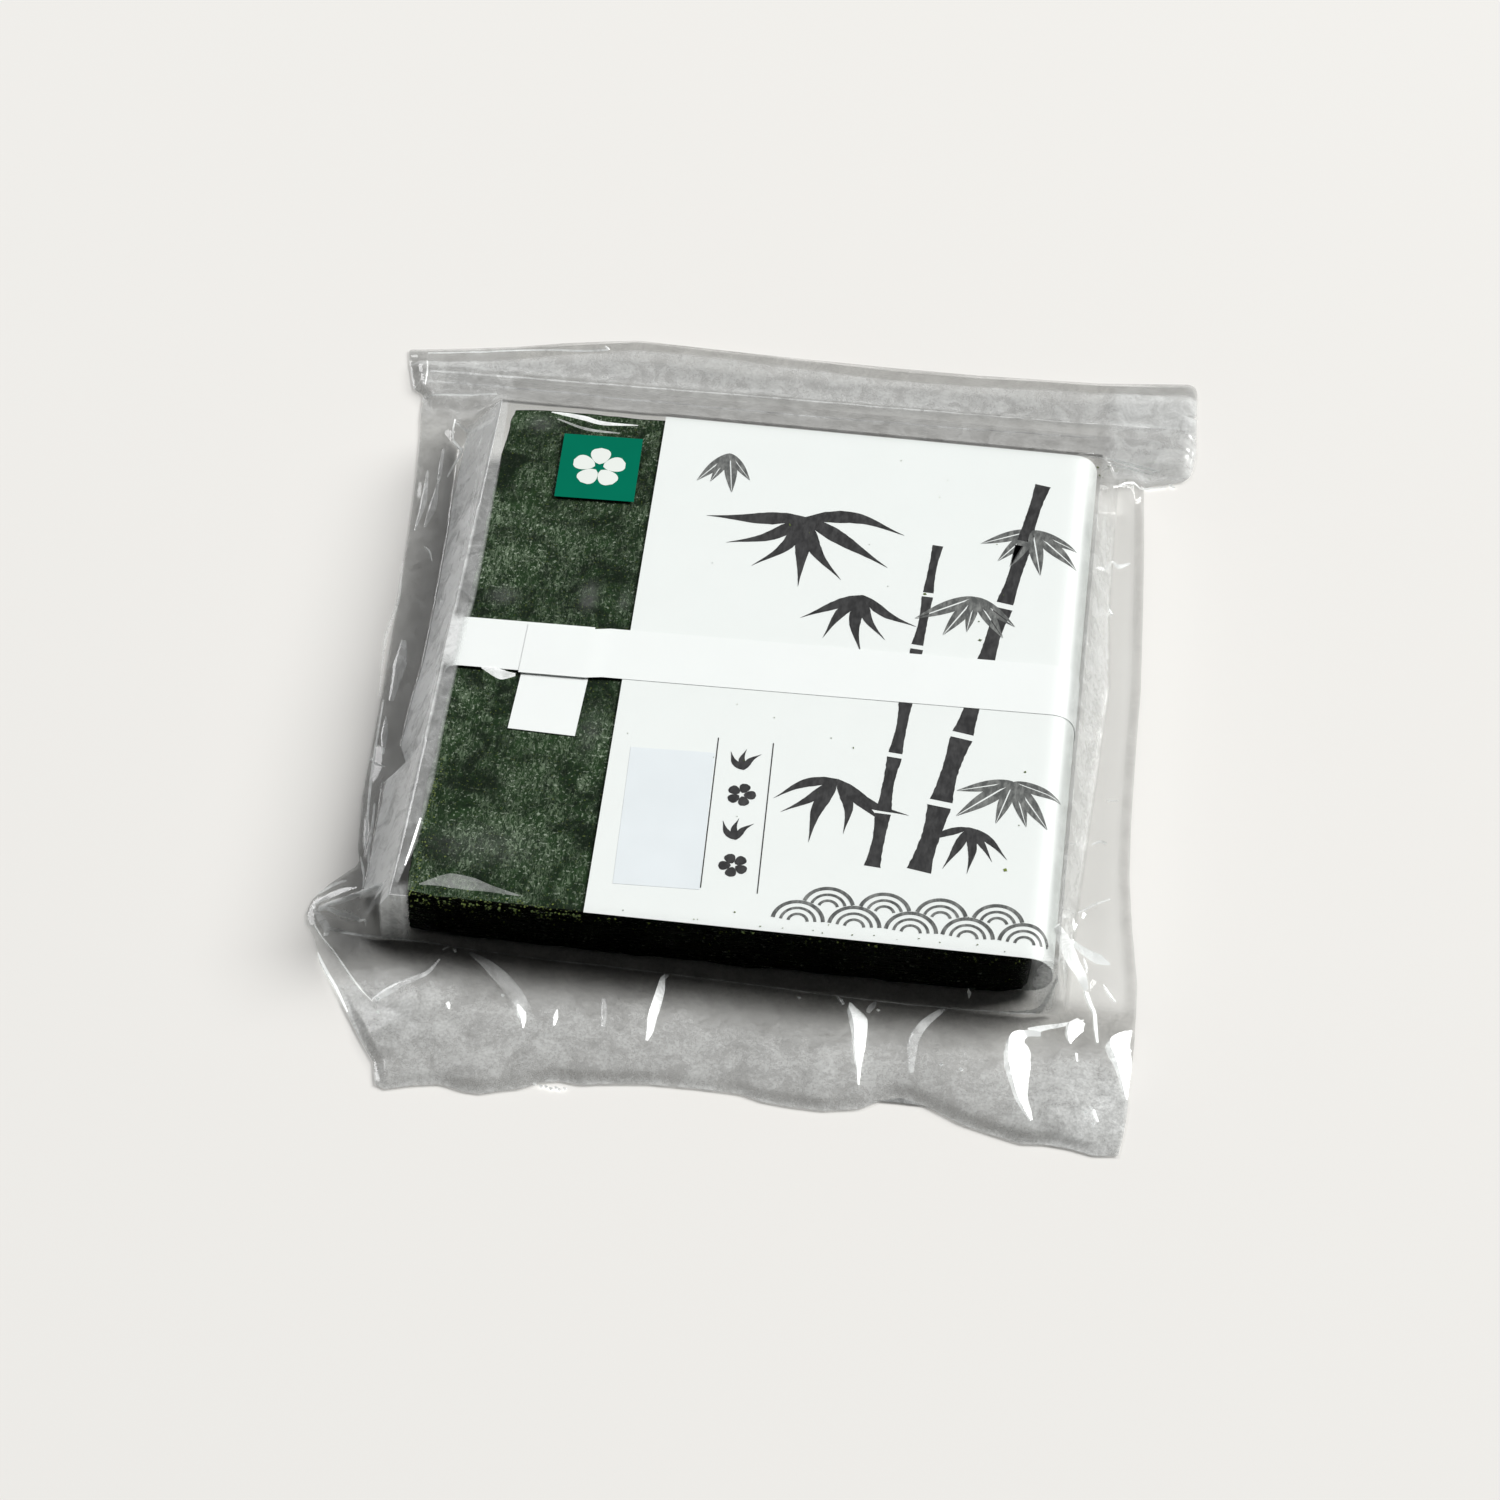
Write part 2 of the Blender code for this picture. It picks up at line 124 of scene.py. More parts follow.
def ripple(x: Array, y: Array, seed: int, length: float, count: int = 14) -> Array:
    """A smooth random field between about -1 and 1: a sum of plane waves in seeded directions.

    Args:
        x, y: where it is read.
        seed: fixes the draw.
        length: the typical distance from crest to crest.
        count: how many waves are summed.

    Returns:
        The field at each place.
    """
    draw = np.random.default_rng(seed)
    total = np.zeros(np.broadcast(x, y).shape)
    for _ in range(count):
        angle = draw.uniform(0, 2 * math.pi)
        step = 2 * math.pi / (length * draw.uniform(0.6, 1.8))
        lag = draw.uniform(0, 2 * math.pi)
        total = total + np.sin(step * (x * math.cos(angle) + y * math.sin(angle)) + lag)
    return total / math.sqrt(count)


def curve_through(stops: Array, count: int) -> Array:
    """A Catmull-Rom curve: on each span, the cubic whose end slopes are those of the chords past its ends.

    Args:
        stops: the points that it passes through.
        count: how many points to give, evenly spread over its spans.

    Returns:
        Points of shape (count, 2).
    """
    stops = np.asarray(stops, float)
    padded = np.concatenate([[2 * stops[0] - stops[1]], stops, [2 * stops[-1] - stops[-2]]])
    at = np.linspace(0, len(stops) - 1, count)
    span = np.minimum(at.astype(int), len(stops) - 2)
    t = (at - span)[:, None]
    a, b, c, d = (padded[span + k] for k in range(4))
    return 0.5 * (2 * b + (c - a) * t + (2 * a - 5 * b + 4 * c - d) * t**2 + (3 * b - a - 3 * c + d) * t**3)


def evenly(numbers: tuple[float, ...], count: int) -> Array:
    """So many numbers that pass straight from each of the given ones to the next."""
    return np.interp(np.linspace(0, 1, count), np.linspace(0, 1, len(numbers)), numbers)


def stations(stops: tuple[float, ...], counts: tuple[int, ...]) -> Array:
    """Numbers from the first stop to the last, with so many steps in each span."""
    spans = [np.linspace(a, b, n, endpoint=False) for a, b, n in zip(stops, stops[1:], counts)]
    return np.append(np.concatenate(spans), stops[-1])


def run(start: Pair, stop: Pair, count: int) -> Array:
    """Points on a straight line, without its last one."""
    return np.linspace(start, stop, count, endpoint=False)


def line_at(line: Line, y: Array) -> Array:
    """x of a line at y. The line's stops (x, y) run up the bag."""
    stops = np.array(line)
    return np.interp(y, stops[:, 1], stops[:, 0])


def line_over(line: Line, x: Array) -> Array:
    """y of a line at x. The line's stops (x, y) run to the right."""
    stops = np.array(line)
    return np.interp(x, stops[:, 0], stops[:, 1])


def unit_rows(vectors: Array) -> Array:
    """Vectors with the same directions and a length of 1."""
    return vectors / np.maximum(np.linalg.norm(vectors, axis=-1, keepdims=True), 1e-12)


def grid_normals(grid: Array) -> Array:
    """Unit normals of a grid of points: the cross product of its two directions at each point."""
    return unit_rows(np.cross(np.gradient(grid, axis=1), np.gradient(grid, axis=0)))


def closed_sheet(upper: Array, lower: Array) -> Body:
    """Joins two grids of points into one closed body: the upper one, the lower one and the rim between.

    Args:
        upper: points of shape (rows, columns, 3), running so that the faces look up.
        lower: the same grid on the sheet's other side.

    Returns:
        Points of shape (n, 3) and faces of shape (m, 4).
    """
    rows, columns = upper.shape[:2]
    count = rows * columns
    index = np.arange(count).reshape(rows, columns)
    a, b, c, d = index[:-1, :-1], index[:-1, 1:], index[1:, 1:], index[1:, :-1]
    top = np.stack([a, b, c, d], -1).reshape(-1, 4)
    bottom = np.stack([a, d, c, b], -1).reshape(-1, 4) + count
    rim = np.concatenate([index[0, :-1], index[:-1, -1], index[-1, :0:-1], index[:0:-1, 0]])
    ahead = np.roll(rim, -1)
    wall = np.stack([ahead, rim, rim + count, ahead + count], -1)
    points = np.concatenate([upper.reshape(-1, 3), lower.reshape(-1, 3)])
    return points, np.concatenate([top, bottom, wall])


def swept(path: Array, near: Array, far: Array, rows: int) -> Body:
    """A closed strip of paper: a path of (x, z) carried from y near to y far, and thickened outwards.

    The path runs clockwise seen from the near side, along the top to the right, so that its left is outside.

    Args:
        path: the inner face's points, of shape (n, 2).
        near, far: y at each point of the path, at the strip's two edges.
        rows: how many steps go across.

    Returns:
        The strip as a body.
    """
    t = np.linspace(0, 1, rows + 1)[:, None]
    y = near * (1 - t) + far * t
    tangent = unit_rows(np.gradient(path, axis=0))
    inner = np.stack([path[:, 0] + 0 * y, y, path[:, 1] + 0 * y], -1)
    outside = np.stack([-tangent[:, 1], 0 * path[:, 0], tangent[:, 0]], -1) * PAPER
    return closed_sheet(inner + outside, inner)


def make_piece(
    name: str,
    parts: list[Body],
    material: bpy.types.Material,
    replaces: tuple[str, ...] = (),
    values: dict[str, Array] | None = None,
    smooth: bool = True,
) -> bpy.types.Object:
    """Args:
        name: the piece's name.
        parts: points (n, 3) from the stack's middle and quads (m, 4) of each body.
        material: the finish of the whole piece.
        replaces: the CAD nodes that the piece stands for.
        values: one number for each point, by attribute name.
        smooth: if the faces are shaded smooth.

    Returns:
        The object, at the origin, riding on the pack's only body.
    """
    offsets = np.cumsum([0] + [len(points) for points, _ in parts[:-1]])
    points = (np.concatenate([points for points, _ in parts]) + STACK_MIDDLE) * MM
    faces = np.concatenate([quads + offset for (_, quads), offset in zip(parts, offsets)])
    mesh = bpy.data.meshes.new(name)
    mesh.vertices.add(len(points))
    mesh.vertices.foreach_set("co", points.astype(np.float32).ravel())
    mesh.loops.add(faces.size)
    mesh.loops.foreach_set("vertex_index", faces.astype(np.int32).ravel())
    mesh.polygons.add(len(faces))
    mesh.polygons.foreach_set("loop_start", np.arange(0, faces.size, 4, dtype=np.int32))
    mesh.polygons.foreach_set("loop_total", np.full(len(faces), 4, np.int32))
    mesh.polygons.foreach_set("use_smooth", np.full(len(faces), smooth))
    mesh.update(calc_edges=True)
    mesh.set_sharp_from_angle(angle=SHARP_ANGLE)
    for key, numbers in (values or {}).items():
        made = mesh.attributes.new(key, "FLOAT", "POINT")
        made.data.foreach_set("value", numbers.astype(np.float32).ravel())
    piece = bpy.data.objects.new(name, mesh)
    bpy.context.scene.collection.objects.link(piece)
    mesh.materials.append(material)
    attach(piece, "root")
    if replaces:
        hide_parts(*replaces)
    LOG.info("%s: %d faces", name, len(faces))
    return piece


class Nodes:
    """Short calls for a material's or a group's node tree."""

    def __init__(self, tree: bpy.types.NodeTree) -> None:
        """Keeps the tree that the calls work on."""
        self.tree = tree

    def feed(self, socket: Socket, value: object) -> None:
        """Links a socket to an output, or sets its number.

        Args:
            socket: the input.
            value: an output of another node, or the number or colour to set.
        """
        if isinstance(value, Socket):
            self.tree.links.new(value, socket)
        else:
            socket.default_value = value

    def add(self, kind: str, **settings: object) -> bpy.types.Node:
        """Adds a node.

        Args:
            kind: the node's type.
            settings: those named in lower case are the node's own, and the rest are inputs.

        Returns:
            The node.
        """
        node = self.tree.nodes.new(kind)
        for key, value in settings.items():
            if key.islower():
                setattr(node, key, value)
            else:
                self.feed(node.inputs[key.replace("_", " ")], value)
        return node

    def maths(self, operation: str, first: object, second: object = 0.0, clamp: bool = False) -> Socket:
        """One step of arithmetic.

        Args:
            operation: the step's name.
            first, second: outputs or numbers.
            clamp: if the result is kept between 0 and 1.

        Returns:
            The result, as an output.
        """
        node = self.add("ShaderNodeMath", operation=operation, use_clamp=clamp)
        self.feed(node.inputs[0], first)
        self.feed(node.inputs[1], second)
        return node.outputs[0]

    def mix(self, share: object, first: object, second: object) -> Socket:
        """A colour between two colours.

        Args:
            share: how much of the second colour it has.
            first, second: outputs or colours.

        Returns:
            The colour, as an output.
        """
        node = self.add("ShaderNodeMix", data_type="RGBA", Factor=share)
        self.feed(node.inputs[6], first)
        self.feed(node.inputs[7], second)
        return node.outputs[2]

    def mix_shaders(self, share: object, first: Socket, second: Socket) -> Socket:
        """A shader between two shaders.

        Args:
            share: how much of the second shader it has.
            first, second: the shaders' outputs.

        Returns:
            The shader, as an output.
        """
        node = self.add("ShaderNodeMixShader", Fac=share)
        self.feed(node.inputs[1], first)
        self.feed(node.inputs[2], second)
        return node.outputs[0]

    def spread(
        self, value: object, low: float, high: float, to_low: float = 0.0, to_high: float = 1.0
    ) -> Socket:
        """Takes the range low to high to the range to_low to to_high, and clamps."""
        ends = {"From_Min": low, "From_Max": high, "To_Min": to_low, "To_Max": to_high}
        return self.add("ShaderNodeMapRange", Value=value, **ends).outputs["Result"]

    def noise(
        self, place: Socket, scale: object, detail: float = 2.0, rough: float = 0.5, warp: float = 0.0
    ) -> Socket:
        """Noise at so many cells a metre."""
        settings = {"Scale": scale, "Detail": detail, "Roughness": rough, "Distortion": warp}
        return self.add("ShaderNodeTexNoise", Vector=place, **settings).outputs["Fac"]

    def scaled(self, colour: Colour, factor: Socket) -> Socket:
        """A colour times a factor.

        Args:
            colour: the colour, whose alpha is left out.
            factor: an output.

        Returns:
            The product, as an output.
        """
        node = self.add("ShaderNodeVectorMath", operation="SCALE", Scale=factor)
        node.inputs[0].default_value = colour[:3]
        return node.outputs["Vector"]

    def bump(self, height: Socket, strength: float, distance: float) -> Socket:
        """A normal bent by a height."""
        node = self.add("ShaderNodeBump", Height=height, Strength=strength, Distance=distance)
        return node.outputs["Normal"]

    def attribute(self, name: str) -> Socket:
        """A point attribute of the mesh, as an output."""
        return self.add("ShaderNodeAttribute", attribute_name=name).outputs["Fac"]


def fine_grain_group() -> bpy.types.NodeTree:
    """The shared grain of paper and nori, which gives a height and a mask from three noises.

    Height is coarse noise plus a share of noise four times finer. Specks is where a third noise, 1.7 times
    as fine as the coarse one, passes a threshold, so it marks few small spots.

    Returns:
        The group, with the inputs Place, Scale, Fine and Specks.
    """
    group = bpy.data.node_groups.new("fine_grain", "ShaderNodeTree")
    group.interface.new_socket(name="Place", in_out="INPUT", socket_type="NodeSocketVector")
    for label, value in (("Scale", 900.0), ("Fine", 0.5), ("Specks", 0.7)):
        socket = group.interface.new_socket(name=label, in_out="INPUT", socket_type="NodeSocketFloat")
        socket.default_value = value
    for label in ("Height", "Specks"):
        group.interface.new_socket(name=label, in_out="OUTPUT", socket_type="NodeSocketFloat")
    work = Nodes(group)
    given = group.nodes.new("NodeGroupInput").outputs
    result = group.nodes.new("NodeGroupOutput").inputs
    coarse = work.noise(given["Place"], given["Scale"], 3.0, 0.6)
    fine = work.noise(given["Place"], work.maths("MULTIPLY", given["Scale"], 4.0))
    dots = work.noise(given["Place"], work.maths("MULTIPLY", given["Scale"], 1.7), 1.0)
    over = work.maths("SUBTRACT", dots, given["Specks"])
    work.feed(result["Height"], work.maths("ADD", coarse, work.maths("MULTIPLY", fine, given["Fine"])))
    work.feed(result["Specks"], work.maths("MULTIPLY", over, 25.0, clamp=True))
    return group


@dataclass(frozen=True)
class Finish:
    """A material on Object coordinates with one Principled shader, which the finishes below build on.

    In every finish a field that ends in _at is a scale of noise, in cells a metre.
    """

    name: str
    colour: Colour = (0.8, 0.8, 0.8, 1.0)
    roughness: float = 0.5

    def start(self) -> tuple[bpy.types.Material, Nodes, bpy.types.Node, Socket]:
        """Makes the plain material.

        Returns:
            The material, its nodes, its shader and the Object coordinates.
        """
        material = bpy.data.materials.new(self.name)
        material.use_nodes = True
        work = Nodes(material.node_tree)
        shader = material.node_tree.nodes["Principled BSDF"]
        shader.inputs["Base Color"].default_value = self.colour
        shader.inputs["Roughness"].default_value = self.roughness
        return material, work, shader, work.add("ShaderNodeTexCoord").outputs["Object"]


@dataclass(frozen=True)
class NoriFinish(Finish):
    """Roasted nori: a felt of green fronds, with paler threads, painted glints as bright specks, and
    yellow-green flecks.
    """

    dark: Colour = (0.0018, 0.0090, 0.0020, 1.0)
    pale: Colour = (0.018, 0.046, 0.014, 1.0)
    thread: Colour = (0.165, 0.225, 0.145, 1.0)
    # Painted glints: the colour of pale specks that stand in for the sheets' sparkle
    painted_glint: Colour = (0.40, 0.47, 0.37, 1.0)
    fleck: Colour = (0.20, 0.26, 0.05, 1.0)
    # Painted shade: the near-black colour of the cut sides, darker than the sheets themselves
    cut: Colour = (0.0012, 0.0030, 0.0008, 1.0)
    felt_at: float = 420.0
    patch_at: float = 75.0
    wide_at: float = 21.0
    fleck_at: float = 620.0
    painted_glint_at: float = 900.0
    fibres: tuple[Pair, ...] = ((0.5, 820.0), (1.65, 700.0), (2.7, 940.0))

    def fronds(self, work: Nodes, place: Socket, turn: float, scale: float) -> Socket:
        """Short thin fibres that all run about one way, in tufts: stretched noise above a threshold.

        Args:
            work: the material's nodes.
            place: the coordinates.
            turn: the fibres' direction, in radians.
            scale: how many of them lie across a metre.

        Returns:
            1 on a fibre and 0 off it.
        """
        settings = {"Rotation": (0.0, 0.0, turn), "Scale": (1.0, 0.36, 1.0)}
        turned = work.add("ShaderNodeMapping", Vector=place, **settings).outputs["Vector"]
        fibre = work.spread(work.noise(turned, scale, 3.0, 0.75, 1.6), 0.53, 0.60)
        tuft = work.spread(work.noise(turned, scale / 4, 3.0, 0.7, 0.8), 0.44, 0.56)
        return work.maths("MULTIPLY", fibre, tuft)

    def make(self, grain: bpy.types.NodeTree) -> bpy.types.Material:
        """Lays tufts of pale fibres, painted glints as bright specks, and flecks over a patchy green felt,
        and darkens the rims as painted shade.

        Args:
            grain: the shared grain, whose specks are the flecks.

        Returns:
            The material. It reads the attribute "rim", which is 1 on a sheet's cut sides, and darkens them
            nearly to black as painted shade.
        """
        material, work, shader, place = self.start()
        felt = work.noise(place, self.felt_at, 4.0, 0.7, 0.8)
        patch = work.noise(place, self.patch_at, 4.0, 0.62, 0.7)
        wide = work.noise(place, self.wide_at)
        fine = work.add("ShaderNodeGroup", node_tree=grain, Place=place, Scale=self.fleck_at, Specks=0.66)
        tone = work.maths("ADD", work.maths("MULTIPLY", felt, 0.45), work.maths("MULTIPLY", patch, 0.6))
        colour = work.mix(work.spread(tone, 0.44, 0.66), self.dark, self.pale)
        lines, *others = [self.fronds(work, place, turn, scale) for turn, scale in self.fibres]
        for more in others:
            lines = work.maths("MAXIMUM", lines, more)
        tufted = work.spread(patch, 0.38, 0.60, 0.08, 1.0)
        dense = work.maths("MULTIPLY", tufted, work.spread(wide, 0.38, 0.62, 0.60, 1.1))
        colour = work.mix(work.maths("MULTIPLY", lines, dense), colour, self.thread)
        # Painted glints: bright specks laid into the colour
        specks = work.spread(work.noise(place, self.painted_glint_at, 1.0), 0.62, 0.70)
        bright = work.maths("MULTIPLY", work.maths("MULTIPLY", specks, dense), 0.8)
        colour = work.mix(bright, colour, self.painted_glint)
        dusty = work.maths("MULTIPLY", fine.outputs["Specks"], work.spread(patch, 0.60, 0.40, 0.03, 0.3))
        colour = work.mix(dusty, colour, self.fleck)
        # Painted shade on the cut sides, broken where crumbs are
        crumbled = work.maths("MULTIPLY", fine.outputs["Specks"], 0.35)
        rim = work.maths("SUBTRACT", work.attribute("rim"), crumbled, clamp=True)
        work.feed(shader.inputs["Base Color"], work.mix(rim, colour, self.cut))
        work.feed(shader.inputs["Roughness"], work.spread(felt, 0.3, 0.7, 0.5, 0.85))
        shader.inputs["Specular IOR Level"].default_value = 0.1
        height = work.maths("ADD", felt, work.maths("MULTIPLY", lines, 0.6))
        work.feed(shader.inputs["Normal"], work.bump(height, 0.8, 0.0003))
        return material


@dataclass(frozen=True)
class PaperFinish(Finish):
    """Smooth coated paper with a faint fibre grain and cloudiness."""

    cloud: float = 0.03
    grain: float = 0.05
    shine: float = 0.2
    cloud_at: float = 60.0
    fibre_at: float = 1500.0

    def make(self, grain: bpy.types.NodeTree) -> bpy.types.Material:
        """Shades the colour by faint clouds and the surface by fibre grain.

        Args:
            grain: the shared grain.

        Returns:
            The material.
        """
        material, work, shader, place = self.start()
        shade = work.spread(work.noise(place, self.cloud_at, 3.0), 0.35, 0.65, 1 - self.cloud, 1.0)
        work.feed(shader.inputs["Base Color"], work.scaled(self.colour, shade))
        shader.inputs["Specular IOR Level"].default_value = self.shine
        fine = work.add("ShaderNodeGroup", node_tree=grain, Place=place, Scale=self.fibre_at)
        height = fine.outputs["Height"]
        uneven = work.spread(height, 0.4, 1.1, self.roughness - 0.08, self.roughness + 0.08)
        work.feed(shader.inputs["Roughness"], uneven)
        work.feed(shader.inputs["Normal"], work.bump(height, self.grain, 0.0002))
        return material


@dataclass(frozen=True)
class InkFinish(Finish):
    """Printed ink with the slightly uneven tone of a dry brush."""

    pale: Colour = (0.10, 0.10, 0.10, 1.0)
    streak_at: float = 700.0

    def make(self) -> bpy.types.Material:
        """Mixes the ink's two tones by streaky noise.

        Returns:
            The material.
        """
        material, work, shader, place = self.start()
        stretched = work.add("ShaderNodeMapping", Vector=place, Scale=(1.0, 0.35, 1.0)).outputs["Vector"]
        streaks = work.noise(stretched, self.streak_at, 4.0, 0.65)
        colour = work.mix(work.spread(streaks, 0.42, 0.72), self.colour, self.pale)
        work.feed(shader.inputs["Base Color"], colour)
        uneven = work.spread(streaks, 0.3, 0.7, self.roughness - 0.1, self.roughness + 0.1)
        work.feed(shader.inputs["Roughness"], uneven)
        return material


@dataclass(frozen=True)
class FilmFinish(Finish):
    """Clear film: it greys what is behind it, whitens where it is creased and frosted and where white is
    painted on as light, reflections and glints, and mirrors the lights.

    It reads four attributes of the mesh: "haze_and_painted_light" is the share of white, frosting and painted
    light together, "speck" how far the white is broken into dots, "clear" how little grey the rest has, and
    "shine" how strongly the film mirrors.
    """

    tint: Colour = (0.862, 0.862, 0.859, 1.0)
    clear_tint: Colour = (0.997, 0.998, 0.997, 1.0)
    gloss: float = 0.07
    dots_at: float = 950.0
    clouds_at: float = 130.0
    wrinkle_at: float = 170.0
    glow: float = 0.2

    def whitened(self, work: Nodes, dots: Socket, clouds: Socket) -> Socket:
        """The share of white, frosting and painted light together, broken into dots as far as speck says,
        times faint clouds.

        Args:
            work: the material's nodes.
            dots, clouds: the two noises.

        Returns:
            The share, as an output.
        """
        uneven = work.maths("SUBTRACT", work.spread(dots, 0.40, 0.62, 0.80, 1.22), 1.0)
        dotted = work.maths("ADD", 1.0, work.maths("MULTIPLY", work.attribute("speck"), uneven))
        # The white share carries painted light, painted reflections and painted glints as well as frosting
        share = work.maths("MULTIPLY", work.attribute("haze_and_painted_light"), dotted)
        return work.maths("MULTIPLY", share, work.spread(clouds, 0.36, 0.64, 0.62, 1.38), clamp=True)

    def see_through(self, work: Nodes, dots: Socket, clouds: Socket) -> Socket:
        """The clear part: no grey where clear is 1, and otherwise the tint with dots and clouds in it.

        Args:
            work: the material's nodes.
            dots, clouds: the two noises.

        Returns:
            The shader, as an output.
        """
        dotted = work.spread(dots, 0.38, 0.62, -0.022, 0.022)
        uneven = work.maths("ADD", dotted, work.spread(clouds, 0.36, 0.64, -0.035, 0.035))
        tinted = work.scaled(self.tint, work.maths("ADD", 1.0, uneven))
        colour = work.mix(work.attribute("clear"), tinted, self.clear_tint)
        return work.add("ShaderNodeBsdfTransparent", Color=colour).outputs[0]

    def mirrored(self, work: Nodes, normal: Socket) -> tuple[Socket, Socket]:
        """What the film mirrors, on its outer faces alone.

        Args:
            work: the material's nodes.
            normal: the bent normal.

        Returns:
            The share and the shader, as outputs.
        """
        settings = {"Base_Color": (0.95, 0.95, 0.95, 1.0), "Metallic": 1.0, "Roughness": self.gloss}
        gloss = work.add("ShaderNodeBsdfPrincipled", Normal=normal, **settings)
        edge = work.add("ShaderNodeFresnel", IOR=1.5, Normal=normal).outputs[0]
        inside = work.add("ShaderNodeNewGeometry").outputs["Backfacing"]
        share = work.maths("MULTIPLY", edge, work.maths("SUBTRACT", 1.0, inside, clamp=True))
        return work.maths("MULTIPLY", share, work.attribute("shine"), clamp=True), gloss.outputs[0]

    def make(self) -> bpy.types.Material:
        """Mixes the clear, the whitened and the mirroring parts.

        Returns:
            The material.
        """
        material, work, shader, place = self.start()
        wrinkle = work.noise(place, self.wrinkle_at, 3.0, 0.6, 0.6)
        dots = work.noise(place, self.dots_at, 2.0, 0.7)
        clouds = work.noise(place, self.clouds_at, 5.0, 0.7, 0.8)
        normal = work.bump(wrinkle, 0.12, 0.0003)
        work.feed(shader.inputs["Roughness"], work.spread(wrinkle, 0.3, 0.7, 0.35, 0.6))
        work.feed(shader.inputs["Normal"], normal)
        through = work.add("ShaderNodeBsdfTranslucent", Color=self.colour).outputs[0]
        white = work.mix_shaders(self.glow, shader.outputs[0], through)
        share = self.whitened(work, dots, clouds)
        veiled = work.mix_shaders(share, self.see_through(work, dots, clouds), white)
        share, gloss = self.mirrored(work, normal)
        final = work.mix_shaders(share, veiled, gloss)
        work.feed(material.node_tree.nodes["Material Output"].inputs["Surface"], final)
        return material


def film_values(count: int, haze_and_painted_light: float, speck: float, clear: float, shine: float) -> dict[str, Array]:
    """The film's four attributes, the same at every point."""
    flat = {"haze_and_painted_light": haze_and_painted_light, "speck": speck, "clear": clear, "shine": shine}
    return {key: np.full(count, number) for key, number in flat.items()}


@dataclass
class NoriStack:
    """The fifty sheets, each a thin wavy plate with its own torn edge."""

    grid: tuple[int, int] = (30, 33)
    top_grid: tuple[int, int] = (150, 166)
    thickness: float = 0.30
    ragged: float = 0.35
    tear: float = 14.0
    wave: float = 0.05
    wave_length: float = 22.0
    shift: float = 0.25
    corner: float = 1.2
    rim: float = 0.25
    tuck: float = 5.0
    tucked: float = 3.4
    seed: int = 70

    def sheet(self, number: int, columns: int, rows: int) -> Body:
        """One sheet as a closed body.

        The plan is a rectangle whose four sides stray by smooth noise along them, and whose corners are
        drawn in by the eighth power of both parameters. The band draws in the right side of the lowest
        sheets, along a quarter of a circle. The height is the sheet's place in the stack plus a ripple.

        Args:
            number: the sheet's place from below, from 1 on.
            columns, rows: how many points the grid has each way.

        Returns:
            The body.
        """
        edge = 1 - 2 * self.rim / SHEET_LENGTH
        u = np.concatenate([[-1], np.linspace(-edge, edge, columns - 2), [1]])[None, :]
        v = np.concatenate([[-1], np.linspace(-edge, edge, rows - 2), [1]])[:, None]
        shift = np.random.default_rng(self.seed + number).uniform(-self.shift, self.shift, 2)
        along_y, along_x = v * SHEET_LENGTH / 2, u * SHEET_WIDTH / 2
        seed = self.seed + 10 * number
        right, left = (ripple(along_y, 0 * u, seed + k, self.tear) for k in (0, 1))
        far, near = (ripple(along_x, 0 * v, seed + k, self.tear) for k in (2, 3))
        blunt = 1 - self.corner / SHEET_WIDTH * 2 * (np.abs(u) * np.abs(v)) ** 8
        x = u * (SHEET_WIDTH / 2 + self.ragged * np.where(u > 0, right, left) * u**6) * blunt + shift[0]
        y = v * (SHEET_LENGTH / 2 + self.ragged * np.where(v > 0, far, near) * v**6) * blunt + shift[1]
        depth = np.clip(1 - number / SHEET_COUNT * self.tucked, 0, 1)
        x = x - self.tuck * (1 - math.sqrt(1 - depth**2 * 0.98)) * np.clip(u, 0, 1) ** 8
        pitch = (STACK_TOP - STACK_BOTTOM - self.thickness) / (SHEET_COUNT - 1)
        base = STACK_BOTTOM + (number - 1) * pitch
        z = base + self.wave * ripple(x, y, seed + 4, self.wave_length)
        lower = np.stack([x, y, np.clip(z, STACK_BOTTOM, STACK_TOP - self.thickness)], -1)
        return closed_sheet(lower + np.array([0, 0, self.thickness]), lower)

    def build(self, material: bpy.types.Material) -> None:
        """Makes all the sheets. The top one has a finer grid. The attribute "rim" marks the cut sides, which
        the nori darkens as painted shade.

        Args:
            material: the nori.
        """
        for number in range(1, SHEET_COUNT + 1):
            columns, rows = self.top_grid if number == SHEET_COUNT else self.grid
            rim = np.ones((2, rows, columns))
            rim[:, 1:-1, 1:-1] = 0.0
            name = f"nori_sheet_{number:02d}"
            body = self.sheet(number, columns, rows)
            make_piece(f"roasted_{name}", [body], material, (name,), {"rim": rim})


@dataclass(frozen=True)
class PaperPath:
    """A strip of paper that goes round the stack: paths of (x, z) on its inner face, with rounded sides."""

    bottom: float
    top: float
    right_from: float = 92.5
    right_reach: float = 8.8
    right_power: float = 2.5
    steps: int = 28

    def side(self, start: float, reach: float, power: float) -> Array:
        """Points down one rounded side, from the top to the bottom, as half of a superellipse.

        Args:
            start: x where the side begins.
            reach: how far it goes out, below 0 to the left.
            power: the superellipse's power, 2 for an ellipse.

        Returns:
            Points of shape (steps + 1, 2).
        """
        angle = np.linspace(math.pi / 2, -math.pi / 2, self.steps + 1)
        middle, half = (self.top + self.bottom) / 2, (self.top - self.bottom) / 2
        out = np.abs(np.cos(angle)) ** (2 / power)
        up = np.sign(np.sin(angle)) * np.abs(np.sin(angle)) ** (2 / power)
        return np.stack([start + reach * out, middle + half * up], -1)

    def right_side(self) -> Array:
        """The rounded side past the stack's right edge."""
        return self.side(self.right_from, self.right_reach, self.right_power)


